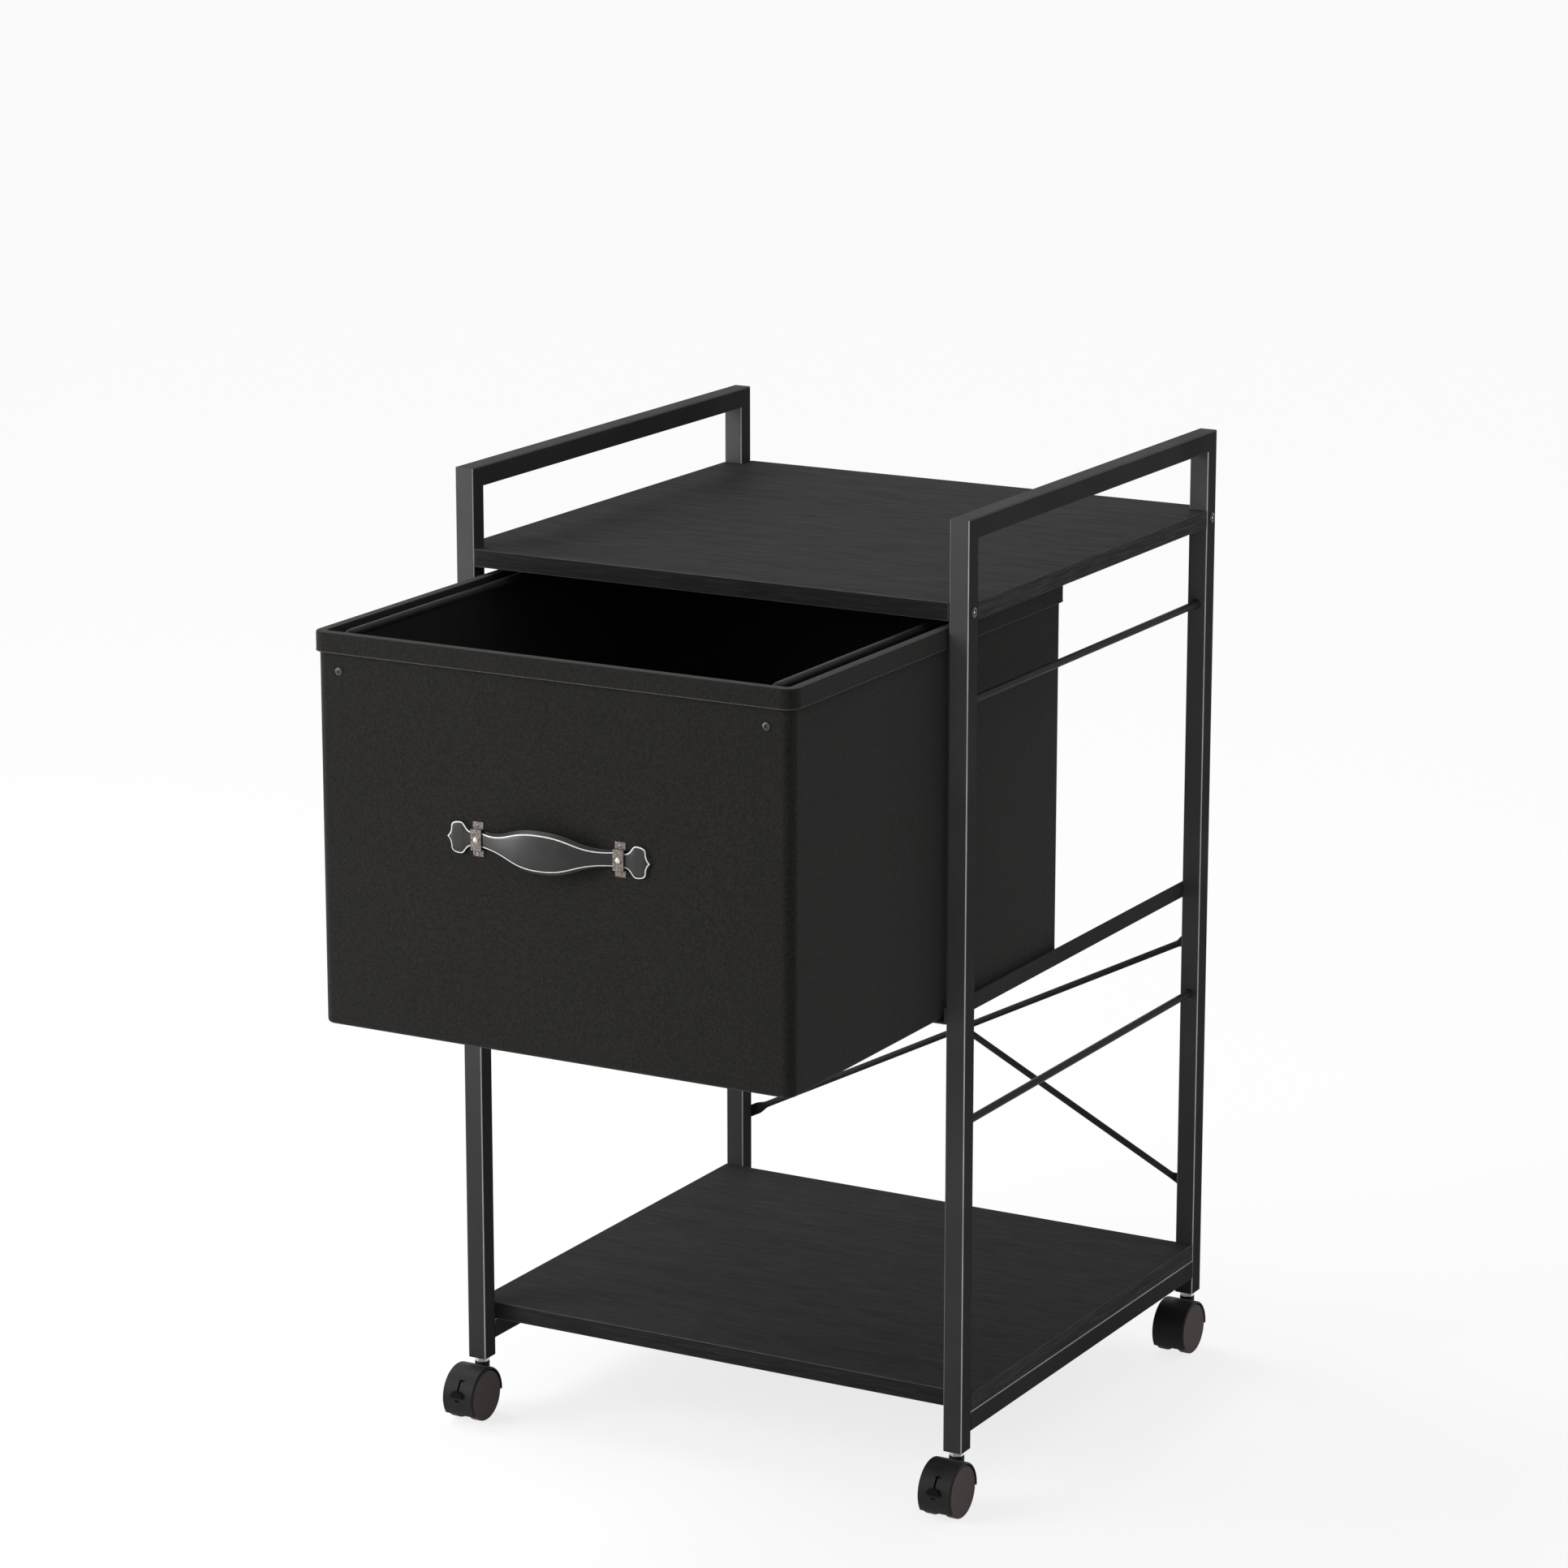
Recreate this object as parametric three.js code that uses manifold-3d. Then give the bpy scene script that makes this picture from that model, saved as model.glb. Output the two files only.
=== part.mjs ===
import * as THREE from 'three';
import { mergeVertices } from 'three/addons/utils/BufferGeometryUtils.js';
import Module from 'manifold-3d';

// Mobile file cart: a tube frame on casters with two shelves and a pull-out drawer for hanging files.
// Millimetres, with X to the right, Y to the rear from the front faces of the posts, and Z up.

const wasm = await Module();
wasm.setup();

// Frame of square steel tube; heights in the frame are above the foot of the posts
const FRAME_WIDTH = 410;
const FRAME_DEPTH = 400;
const POST_LENGTH = 668;
const TUBE_SIZE = 15;
const TUBE_WALL = 1.2;
const TUBE_CORNER = 1.6;
const TUBE_INNER_CORNER = 0.6;
const BOTTOM_RAIL_TOP = 27.5;
const HAND_GAP = 43;
const SIDE_ROD_DIAMETER = 5.5;
const UPPER_ROD_DROP = 58;
const LOWER_ROD_DROP = 75.5;

// Shelf boards and the bolts that hold the top one
const BOARD_THICKNESS = 13;
const BOLT_DIAMETER = 6;
const BOLT_GRIP = 22;
const BOLT_HEAD_DIAMETER = 7.4;
const BOLT_HEAD_HEIGHT = 1.4;

// Steel angles that carry the drawer
const ANGLE_GAUGE = 1.5;
const ANGLE_LEG = 12;
const ANGLE_SHELF = 18;

// Crossed brace rods behind the rear posts
const BRACE_DIAMETER = 5;
const BRACE_LOW = 79;
const BRACE_HIGH = 280;
const BRACE_TAB_GAUGE = 2;
const BRACE_TAB_WIDTH = 9;
const BRACE_TAB_OVERHANG = 6;
const BRACE_TAB_END = 4.6;
const BRACE_JOGGLE = 8;
const BRACE_SCREW_HOLE = 4.4;

// File drawer of fabric-covered board, shown pulled out
const DRAWER_HEIGHT = 276;
const DRAWER_HEADROOM = 6.6;
const DRAWER_SIDE_GAP = 2.7;
const DRAWER_SETBACK = 5;
const DRAWER_PULL = 208.7;
const PANEL_THICKNESS = 5;
const DRAWER_CORNER = 8;
const RIM_HEIGHT = 13.4;
const RIM_GAUGE = 2.4;

// Rods inside the drawer that hanging folders hook over
const FILE_RAIL_DIAMETER = 6;
const FILE_RAIL_INSET = 13.7;
const FILE_RAIL_SINK = 2.4;
const FILE_RAIL_BEND = 7;
const FILE_RAIL_LEG = 32;

// Strap handle and the two brackets that hold its necks
const HANDLE_HEIGHT = 147;
const HANDLE_SPAN = 111;
const STRAP_GAUGE = 2.6;
const STRAP_BOW = 12;
const STRAP_MIDDLE = 29.5;
const STRAP_NECK = 11.8;
const STRAP_FLARE = 24;
const FLARE_REACH = 9;
const TIP_REACH = 21.3;
const TIP_SHOULDER = 7;
const BRACKET_WIDTH = 8.3;
const BRACKET_GAUGE = 1.2;
const BRACKET_TAB = 4.6;

// Twin-wheel casters
const WHEEL_DIAMETER = 38.5;
const WHEEL_WIDTH = 7.6;
const WHEEL_EDGE = 0.9;
const WHEEL_DISC = 2;
const WHEEL_TREAD = 3;
const HUB_DIAMETER = 10;
const AXLE_DIAMETER = 5;
const WEB_WIDTH = 9.4;
const HOOD_WALL = 1.5;
const HOOD_WHEEL_GAP = 0.6;
const HOOD_FRONT_CLEARANCE = 7.3;
const HOOD_REAR_DROP = 0.8;
const HOOD_LIP = 0.4;
const CASTER_TRAIL = 14;
const CASTER_TOP_GAP = 3.4;
const NECK_DIAMETER = 11;
const PIN_DIAMETER = 6;
const PIN_LENGTH = 14;
const COLLAR_FLATS = 9.6;
const COLLAR_HEIGHT = 3.2;
const SHANK_DIAMETER = 8;
const SHANK_LENGTH = 18;
const SOCKET_LENGTH = 26;

// Brake lever in the front of a hood
const BRAKE_PIVOT_REACH = 12;
const BRAKE_PIVOT_RISE = 5.6;
const BRAKE_PIVOT_DIAMETER = 3;
const BRAKE_PIVOT_DEPTH = 1.8;
const BRAKE_BOSS_DIAMETER = 6;
const BRAKE_ARM_WIDTH = 1.6;
const BRAKE_ARM_HEIGHT = 2.6;
const BRAKE_TAB_WIDTH = 10.8;
const BRAKE_TAB_HEIGHT = 5.7;
const BRAKE_TAB_GAUGE = 1.1;
const BRAKE_TILT = 36;

// Clearances
const SEAT_GAP = 0.3;
const RUNNING_GAP = 0.15;
const BRAKE_GAP = 0.35;

// Facets of round pieces; an arc takes two facets for each step
const WHEEL_SIDES = 28;
const WELL_SIDES = 32;
const HOOD_STEPS = 12;
const ROD_SIDES = 10;
const PIN_SIDES = 12;
const CORNER_STEPS = 1;
const BEND_STEPS = 4;
const BOW_STEPS = 18;
const CURVE_STEPS = 4;

// Finishes
const POWDER_COAT = { color: 0x2c2c2f, roughness: 0.45, metalness: 0.35 };
const BLACK_LAMINATE = { color: 0x2a2928, roughness: 0.6, metalness: 0 };
const CHARCOAL_FABRIC = { color: 0x2b2a28, roughness: 0.95, metalness: 0 };
const GREY_LEATHER = { color: 0x45433f, roughness: 0.5, metalness: 0 };
const AGED_METAL = { color: 0x8a8078, roughness: 0.5, metalness: 0.8 };
const ZINC = { color: 0xc4c2bd, roughness: 0.35, metalness: 0.9 };
const BLACK_PLASTIC = { color: 0x232323, roughness: 0.5, metalness: 0 };
const WHEEL_PLASTIC = { color: 0x3a3634, roughness: 0.55, metalness: 0 };

// Sizes that follow from the ones above
const wheelRadius = WHEEL_DIAMETER / 2;
const axleHeight = wheelRadius * Math.cos(Math.PI / WHEEL_SIDES);
const wellRadius = wheelRadius + HOOD_WHEEL_GAP;
const hoodRadius = wellRadius + HOOD_WALL;
const hoodHalfWidth = WEB_WIDTH / 2 + SEAT_GAP + WHEEL_WIDTH + HOOD_LIP;
const footHeight = axleHeight + hoodRadius + CASTER_TOP_GAP;
const postCentreX = (FRAME_WIDTH - TUBE_SIZE) / 2;
const innerHalfWidth = FRAME_WIDTH / 2 - TUBE_SIZE;
const topBoardTop = POST_LENGTH - TUBE_SIZE - HAND_GAP;
const topBoardUnderside = topBoardTop - BOARD_THICKNESS;
const boltHeight = topBoardUnderside + BOARD_THICKNESS / 2;
const drawerFloor = topBoardUnderside - DRAWER_HEADROOM - DRAWER_HEIGHT;
const angleTop = drawerFloor - SEAT_GAP;
const drawerDepth = FRAME_DEPTH - DRAWER_SETBACK;
const rimProud = RIM_GAUGE + SEAT_GAP;
const drawerHalfWidth = innerHalfWidth - DRAWER_SIDE_GAP - rimProud;
const strapBack = SEAT_GAP;
const strapFront = strapBack + STRAP_GAUGE;

const X = new THREE.Vector3(1, 0, 0);
const Y = new THREE.Vector3(0, 1, 0);
const Z = new THREE.Vector3(0, 0, 1);

// Geometry with its vertices shared and its collapsed triangles removed
function weld(geometry) {
  geometry.deleteAttribute('normal');
  geometry.deleteAttribute('uv');
  const merged = mergeVertices(geometry);
  const index = merged.getIndex().array;
  const kept = [];
  for (let i = 0; i < index.length; i += 3) {
    const [a, b, c] = index.subarray(i, i + 3);
    if (a !== b && b !== c && c !== a) {
      kept.push(a, b, c);
    }
  }
  merged.setIndex(kept);
  return merged;
}

// Solid for joining and cutting, from a closed geometry
function solid(geometry) {
  const welded = weld(geometry);
  const vertProperties = new Float32Array(welded.getAttribute('position').array);
  const triVerts = new Uint32Array(welded.getIndex().array);
  return new wasm.Manifold(new wasm.Mesh({ numProp: 3, vertProperties, triVerts }));
}

// Geometry of a joined or cut solid
function geometryOf(body) {
  const mesh = body.getMesh();
  const geometry = new THREE.BufferGeometry();
  geometry.setAttribute('position', new THREE.BufferAttribute(mesh.vertProperties, 3));
  geometry.setIndex(new THREE.BufferAttribute(mesh.triVerts, 1));
  return geometry;
}

// Named mesh with a material of its own
function place(parent, name, geometry, finish, position = new THREE.Vector3()) {
  const mesh = new THREE.Mesh(weld(geometry), new THREE.MeshStandardMaterial(finish));
  mesh.name = name;
  mesh.position.copy(position);
  mesh.geometry.computeVertexNormals();
  parent.add(mesh);
}

// Rectangle with round corners, centred on the origin
function roundedRectangle(width, height, radius) {
  const shape = new THREE.Shape();
  const right = width / 2 - radius;
  const top = height / 2 - radius;
  shape.absarc(right, -top, radius, -Math.PI / 2, 0);
  shape.absarc(right, top, radius, 0, Math.PI / 2);
  shape.absarc(-right, top, radius, Math.PI / 2, Math.PI);
  shape.absarc(-right, -top, radius, Math.PI, 1.5 * Math.PI);
  shape.closePath();
  return shape;
}

// Polygon through the given corners
function polygon(corners) {
  return new THREE.Shape(corners.map(([u, v]) => new THREE.Vector2(u, v)));
}

function extrude(shape, depth, curveSegments = CORNER_STEPS) {
  return new THREE.ExtrudeGeometry(shape, { depth, curveSegments, bevelEnabled: false });
}

// Shape drawn in Y and Z, extruded along X and centred on X = 0
function extrudeAlongX(shape, width, curveSegments) {
  const geometry = extrude(shape, width, curveSegments);
  geometry.applyMatrix4(new THREE.Matrix4().makeBasis(Y, Z, X));
  return geometry.translate(-width / 2, 0, 0);
}

// Shape drawn in X and Z, extruded along Y from Y = 0
function extrudeAlongY(shape, depth, curveSegments) {
  const geometry = extrude(shape, depth, curveSegments);
  geometry.applyMatrix4(new THREE.Matrix4().makeBasis(X, Z, Y.clone().negate()));
  return geometry.translate(0, depth, 0);
}

function cylinderAlongX(radius, length, sides) {
  return new THREE.CylinderGeometry(radius, radius, length, sides).rotateZ(-Math.PI / 2);
}

function cylinderAlongY(radius, length, sides) {
  return new THREE.CylinderGeometry(radius, radius, length, sides);
}

function cylinderAlongZ(radius, length, sides) {
  return new THREE.CylinderGeometry(radius, radius, length, sides).rotateX(Math.PI / 2);
}

// Path that steps from point to point of a bent rod, so that bends get as many steps as they need
class RodPath extends THREE.Curve {
  constructor(points) {
    super();
    this.points = points;
  }

  getPoint(t) {
    const last = this.points.length - 2;
    const step = t * (last + 1);
    const index = Math.min(Math.floor(step), last);
    return this.points[index].clone().lerp(this.points[index + 1], step - index);
  }

  getPointAt(u) {
    return this.getPoint(u);
  }

  getTangentAt(u) {
    return this.getTangent(u);
  }
}

// Round rod through points, with each bend rounded off
function bentRod(corners, bendRadius, diameter) {
  const points = [corners[0]];
  for (let i = 1; i < corners.length - 1; i += 1) {
    const before = corners[i - 1].clone().sub(corners[i]).normalize();
    const after = corners[i + 1].clone().sub(corners[i]).normalize();
    const setback = bendRadius / Math.tan(before.angleTo(after) / 2);
    const start = corners[i].clone().addScaledVector(before, setback);
    const end = corners[i].clone().addScaledVector(after, setback);
    const bend = new THREE.QuadraticBezierCurve3(start, corners[i], end);
    points.push(...bend.getPoints(BEND_STEPS));
  }
  points.push(corners.at(-1));
  const section = new THREE.Shape().absarc(0, 0, diameter / 2, 0, 2 * Math.PI);
  const extrudePath = new RodPath(points);
  const steps = points.length - 1;
  return new THREE.ExtrudeGeometry(section, { extrudePath, steps, curveSegments: ROD_SIDES / 2 });
}

// Square tube along Z; each end is square (0) or mitred by the slope it has across the tube
function squareTube(length, startSlope, endSlope) {
  const section = roundedRectangle(TUBE_SIZE, TUBE_SIZE, TUBE_CORNER);
  const bore = TUBE_SIZE - 2 * TUBE_WALL;
  section.holes.push(roundedRectangle(bore, bore, TUBE_INNER_CORNER));
  const geometry = extrude(section, length);
  const position = geometry.getAttribute('position');
  for (let i = 0; i < position.count; i += 1) {
    const atEnd = position.getZ(i) > length / 2;
    const slope = atEnd ? endSlope : startSlope;
    const trim = Math.abs(slope) * TUBE_SIZE / 2 - slope * position.getY(i);
    position.setZ(i, atEnd ? length - trim : trim);
  }
  return geometry;
}

// Frame: posts, rails, rods, drawer angles, shelves, bolts, braces and foot sockets

// Post with a mitred top, drilled across for the shelf bolt
function postGeometry(mitreSlope) {
  const tube = solid(squareTube(POST_LENGTH - SEAT_GAP, 0, mitreSlope));
  const drill = cylinderAlongX(BOLT_DIAMETER / 2 + SEAT_GAP, 2 * TUBE_SIZE, PIN_SIDES);
  return geometryOf(tube.subtract(solid(drill.translate(0, 0, boltHeight))));
}

function topRailGeometry() {
  const geometry = squareTube(FRAME_DEPTH, 1, 1);
  return geometry.applyMatrix4(new THREE.Matrix4().makeBasis(X.clone().negate(), Z, Y));
}

function bottomRailGeometry() {
  const geometry = squareTube(FRAME_DEPTH - 2 * TUBE_SIZE, 0, 0);
  return geometry.applyMatrix4(new THREE.Matrix4().makeBasis(X.clone().negate(), Z, Y));
}

// Angle whose upright leg lies on the posts and whose shelf reaches under the drawer
function angleGeometry(side) {
  const post = side * innerHalfWidth;
  const shelfEdge = post - side * ANGLE_SHELF;
  const leg = post - side * ANGLE_GAUGE;
  const bottom = angleTop - ANGLE_GAUGE;
  const section = polygon([
    [post, bottom],
    [post, bottom + ANGLE_LEG],
    [leg, bottom + ANGLE_LEG],
    [leg, angleTop],
    [shelfEdge, angleTop],
    [shelfEdge, bottom],
  ]);
  return extrudeAlongY(section, FRAME_DEPTH);
}

// Top board, notched round the four posts and drilled for the bolts
function topBoardGeometry() {
  const halfWidth = FRAME_WIDTH / 2;
  const notchX = innerHalfWidth - SEAT_GAP;
  const notchFront = TUBE_SIZE + SEAT_GAP;
  const notchRear = FRAME_DEPTH - notchFront;
  const outline = polygon([
    [-notchX, 0],
    [notchX, 0],
    [notchX, notchFront],
    [halfWidth, notchFront],
    [halfWidth, notchRear],
    [notchX, notchRear],
    [notchX, FRAME_DEPTH],
    [-notchX, FRAME_DEPTH],
    [-notchX, notchRear],
    [-halfWidth, notchRear],
    [-halfWidth, notchFront],
    [-notchX, notchFront],
  ]);
  let board = solid(extrude(outline, BOARD_THICKNESS));
  const holeDepth = 2 * (BOLT_GRIP + SEAT_GAP);
  for (const side of [-1, 1]) {
    for (const y of [TUBE_SIZE / 2, FRAME_DEPTH - TUBE_SIZE / 2]) {
      const drill = cylinderAlongX(BOLT_DIAMETER / 2 + SEAT_GAP, holeDepth, PIN_SIDES);
      drill.translate(side * innerHalfWidth, y, BOARD_THICKNESS / 2);
      board = board.subtract(solid(drill));
    }
  }
  return geometryOf(board);
}

function bottomBoardGeometry() {
  const depth = FRAME_DEPTH - 2 * TUBE_SIZE - 2 * SEAT_GAP;
  return new THREE.BoxGeometry(FRAME_WIDTH, depth, BOARD_THICKNESS);
}

// Round-headed bolt along X, with its head outside the post
function boltGeometry(side) {
  const shank = BOLT_DIAMETER / 2;
  const head = BOLT_HEAD_DIAMETER / 2;
  const profile = new THREE.Path();
  profile.moveTo(0, -TUBE_SIZE - BOLT_GRIP);
  profile.lineTo(shank, -TUBE_SIZE - BOLT_GRIP);
  profile.lineTo(shank, SEAT_GAP);
  profile.lineTo(head, SEAT_GAP);
  profile.quadraticCurveTo(head, BOLT_HEAD_HEIGHT, 0, BOLT_HEAD_HEIGHT);
  const bolt = new THREE.LatheGeometry(profile.getPoints(CURVE_STEPS), PIN_SIDES);
  return bolt.rotateZ(-side * Math.PI / 2);
}

// Brace rod with flattened ends on the rear posts; lean is 1 for the one that rises to the right.
// The two rods pass on either side of the plane of their ends.
function braceGeometry(lean) {
  const rise = BRACE_HIGH - BRACE_LOW;
  const length = Math.hypot(2 * postCentreX, rise);
  const tabReach = TUBE_SIZE / 2 + BRACE_TAB_OVERHANG;
  const tabEnd = length / 2 - tabReach;
  const runEnd = tabEnd - BRACE_JOGGLE;
  const offset = lean * (BRACE_DIAMETER + 2 * SEAT_GAP) / 2;
  const rod = bentRod([
    new THREE.Vector3(-tabEnd - BRACE_JOGGLE / 2, 0, 0),
    new THREE.Vector3(-tabEnd, 0, 0),
    new THREE.Vector3(-runEnd, offset, 0),
    new THREE.Vector3(runEnd, offset, 0),
    new THREE.Vector3(tabEnd, 0, 0),
    new THREE.Vector3(tabEnd + BRACE_JOGGLE / 2, 0, 0),
  ], BRACE_DIAMETER, BRACE_DIAMETER);
  let brace = solid(rod);
  const tabLength = tabReach + BRACE_TAB_END;
  for (const end of [-1, 1]) {
    const outline = roundedRectangle(tabLength, BRACE_TAB_WIDTH, BRACE_TAB_WIDTH / 2 - SEAT_GAP);
    const tab = solid(extrudeAlongY(outline, BRACE_TAB_GAUGE).translate(0, -BRACE_TAB_GAUGE / 2, 0));
    const drill = solid(cylinderAlongY(BRACE_SCREW_HOLE / 2, 2 * BRACE_DIAMETER, ROD_SIDES));
    const screwX = end * length / 2;
    const tabX = screwX - end * (tabReach - BRACE_TAB_END) / 2;
    brace = brace.add(tab.translate([tabX, 0, 0])).subtract(drill.translate([screwX, 0, 0]));
  }
  // The rod's own ends lie flat within the tabs
  const flat = new THREE.BoxGeometry(length, BRACE_DIAMETER, BRACE_TAB_WIDTH);
  const shave = solid(flat).translate([0, BRACE_TAB_GAUGE / 2 + BRACE_DIAMETER / 2, 0]);
  const shaveBelow = solid(flat).translate([0, -BRACE_TAB_GAUGE / 2 - BRACE_DIAMETER / 2, 0]);
  for (const end of [-1, 1]) {
    const shift = [end * (tabEnd + length / 2), 0, 0];
    brace = brace.subtract(shave.translate(shift)).subtract(shaveBelow.translate(shift));
  }
  return geometryOf(brace).rotateY(-lean * Math.atan2(rise, 2 * postCentreX));
}

// Plug in the foot of a post, bored for the caster's threaded shank
function socketGeometry() {
  const size = TUBE_SIZE - 2 * TUBE_WALL - 2 * SEAT_GAP;
  const section = roundedRectangle(size, size, TUBE_INNER_CORNER);
  const bore = new THREE.Path();
  bore.absarc(0, 0, SHANK_DIAMETER / 2 + SEAT_GAP, 0, 2 * Math.PI);
  section.holes.push(bore);
  return extrude(section, SOCKET_LENGTH, CURVE_STEPS);
}

function buildFrame() {
  const frame = new THREE.Group();
  const frontY = TUBE_SIZE / 2;
  const rearY = FRAME_DEPTH - TUBE_SIZE / 2;
  for (const [sideName, side] of [['left', -1], ['right', 1]]) {
    const x = side * postCentreX;
    const at = (y, z) => new THREE.Vector3(x, y, z);
    for (const [endName, y, slope] of [['front', frontY, -1], ['rear', rearY, 1]]) {
      const corner = `${endName}_${sideName}`;
      place(frame, `${corner}_post`, postGeometry(slope), POWDER_COAT, at(y, 0));
      place(frame, `${corner}_caster_socket`, socketGeometry(), BLACK_PLASTIC, at(y, 0));
      const boltAt = new THREE.Vector3(side * FRAME_WIDTH / 2, y, boltHeight);
      place(frame, `${corner}_shelf_bolt`, boltGeometry(side), POWDER_COAT, boltAt);
    }
    const railTop = POST_LENGTH - TUBE_SIZE / 2;
    place(frame, `${sideName}_top_rail`, topRailGeometry(), POWDER_COAT, at(0, railTop));
    const lowRail = at(TUBE_SIZE, BOTTOM_RAIL_TOP - TUBE_SIZE / 2);
    place(frame, `${sideName}_bottom_rail`, bottomRailGeometry(), POWDER_COAT, lowRail);
    const rodLength = FRAME_DEPTH - 2 * TUBE_SIZE;
    const upperRod = at(FRAME_DEPTH / 2, topBoardUnderside - UPPER_ROD_DROP);
    const lowerRod = at(FRAME_DEPTH / 2, drawerFloor - LOWER_ROD_DROP);
    const rod = () => cylinderAlongY(SIDE_ROD_DIAMETER / 2, rodLength, ROD_SIDES);
    place(frame, `${sideName}_upper_rod`, rod(), POWDER_COAT, upperRod);
    place(frame, `${sideName}_lower_rod`, rod(), POWDER_COAT, lowerRod);
    place(frame, `${sideName}_drawer_angle`, angleGeometry(side), POWDER_COAT);
  }
  place(frame, 'top_shelf', topBoardGeometry(), BLACK_LAMINATE, new THREE.Vector3(0, 0, topBoardUnderside));
  const bottomCentre = new THREE.Vector3(0, FRAME_DEPTH / 2, BOTTOM_RAIL_TOP + BOARD_THICKNESS / 2);
  place(frame, 'bottom_shelf', bottomBoardGeometry(), BLACK_LAMINATE, bottomCentre);
  const braceY = FRAME_DEPTH + SEAT_GAP + BRACE_TAB_GAUGE / 2;
  const braceAt = new THREE.Vector3(0, braceY, (BRACE_LOW + BRACE_HIGH) / 2);
  place(frame, 'rising_brace_rod', braceGeometry(1), POWDER_COAT, braceAt);
  place(frame, 'falling_brace_rod', braceGeometry(-1), POWDER_COAT, braceAt);
  frame.position.z = footHeight;
  return frame;
}

// Drawer: its origin is at the bottom of the middle of its front face

// Front panel, which wraps round both corners
function frontPanelShape() {
  const outer = drawerHalfWidth - DRAWER_CORNER;
  const innerX = drawerHalfWidth - PANEL_THICKNESS;
  const shape = new THREE.Shape();
  shape.absarc(-outer, DRAWER_CORNER, DRAWER_CORNER, Math.PI, 1.5 * Math.PI);
  shape.absarc(outer, DRAWER_CORNER, DRAWER_CORNER, 1.5 * Math.PI, 2 * Math.PI);
  shape.lineTo(innerX, DRAWER_CORNER);
  shape.lineTo(innerX, PANEL_THICKNESS);
  shape.lineTo(-innerX, PANEL_THICKNESS);
  shape.lineTo(-innerX, DRAWER_CORNER);
  shape.closePath();
  return shape;
}

function sidePanelGeometry() {
  const length = drawerDepth - 2 * DRAWER_CORNER;
  return new THREE.BoxGeometry(PANEL_THICKNESS, length, DRAWER_HEIGHT);
}

function basePanelGeometry() {
  const width = 2 * (drawerHalfWidth - PANEL_THICKNESS - SEAT_GAP);
  const depth = drawerDepth - 2 * (PANEL_THICKNESS + SEAT_GAP);
  return new THREE.BoxGeometry(width, depth, PANEL_THICKNESS);
}

// Band round the top of the walls
function rimGeometry() {
  const inner = SEAT_GAP;
  const width = 2 * drawerHalfWidth;
  const outline = (grow) =>
    roundedRectangle(width + 2 * grow, drawerDepth + 2 * grow, DRAWER_CORNER + grow);
  const band = outline(rimProud);
  band.holes.push(outline(inner));
  return extrude(band, RIM_HEIGHT, CURVE_STEPS).translate(0, drawerDepth / 2, 0);
}

// Rod from front wall to rear wall, bent down at both ends to lie against the walls
function fileRailGeometry() {
  const frontY = PANEL_THICKNESS + SEAT_GAP + FILE_RAIL_DIAMETER / 2;
  const rearY = drawerDepth - frontY;
  return bentRod([
    new THREE.Vector3(0, frontY, -FILE_RAIL_LEG),
    new THREE.Vector3(0, frontY, 0),
    new THREE.Vector3(0, rearY, 0),
    new THREE.Vector3(0, rearY, -FILE_RAIL_LEG),
  ], FILE_RAIL_BEND, FILE_RAIL_DIAMETER);
}

// Quarter of the strap's outline, from the middle of its upper edge to the point at its right end
function strapQuarter() {
  const neckStart = (HANDLE_SPAN - BRACKET_WIDTH) / 2;
  const neckEnd = (HANDLE_SPAN + BRACKET_WIDTH) / 2;
  const flareX = neckEnd + FLARE_REACH;
  const tipX = neckEnd + TIP_REACH;
  const shoulderX = (flareX + 2 * tipX) / 3;
  const neck = STRAP_NECK / 2;
  const flare = STRAP_FLARE / 2;
  const quarter = new THREE.Path();
  quarter.moveTo(0, STRAP_MIDDLE / 2);
  quarter.bezierCurveTo(neckStart / 2, STRAP_MIDDLE / 2, neckStart / 2, neck, neckStart, neck);
  quarter.lineTo(neckEnd, neck);
  quarter.bezierCurveTo((neckEnd + flareX) / 2, neck, (neckEnd + flareX) / 2, flare, flareX, flare);
  quarter.quadraticCurveTo(shoulderX, flare, shoulderX, TIP_SHOULDER);
  quarter.quadraticCurveTo(shoulderX, TIP_SHOULDER / 3, tipX, 0);
  return quarter.getPoints(CURVE_STEPS);
}

// Outline of the whole strap, mirrored from its quarter
function strapOutline() {
  const quarter = strapQuarter();
  const upperLeft = quarter.slice(1).reverse().map((p) => new THREE.Vector2(-p.x, p.y));
  const upper = [...upperLeft, ...quarter];
  const lower = upper.slice(1, -1).reverse().map((p) => new THREE.Vector2(p.x, -p.y));
  return new THREE.Shape([...upper, ...lower].reverse());
}

// How far the strap stands off the drawer at x, for the fingers
function strapBow(x) {
  const reach = (HANDLE_SPAN - BRACKET_WIDTH) / 2;
  const share = Math.min(Math.abs(x) / reach, 1);
  return STRAP_BOW * (1 - share ** 4) ** 2;
}

// Strap handle: a bowed strip cut to its outline
function strapGeometry() {
  const reach = (HANDLE_SPAN - BRACKET_WIDTH) / 2;
  const end = reach + BRACKET_WIDTH + 2 * TIP_REACH;
  const bowed = Array.from({ length: BOW_STEPS + 1 }, (_, i) => reach * (2 * i / BOW_STEPS - 1));
  const stations = [-end, ...bowed, end];
  const front = stations.map((x) => [x, -strapFront - strapBow(x)]);
  const back = stations.map((x) => [x, -strapBack - strapBow(x)]).reverse();
  const strip = solid(extrude(polygon([...front, ...back]), 2 * STRAP_MIDDLE));
  const depth = 2 * (strapFront + STRAP_BOW);
  const cutter = solid(extrudeAlongY(strapOutline(), depth).translate(0, -depth, 0));
  return geometryOf(strip.translate([0, 0, -STRAP_MIDDLE]).intersect(cutter));
}

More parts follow.
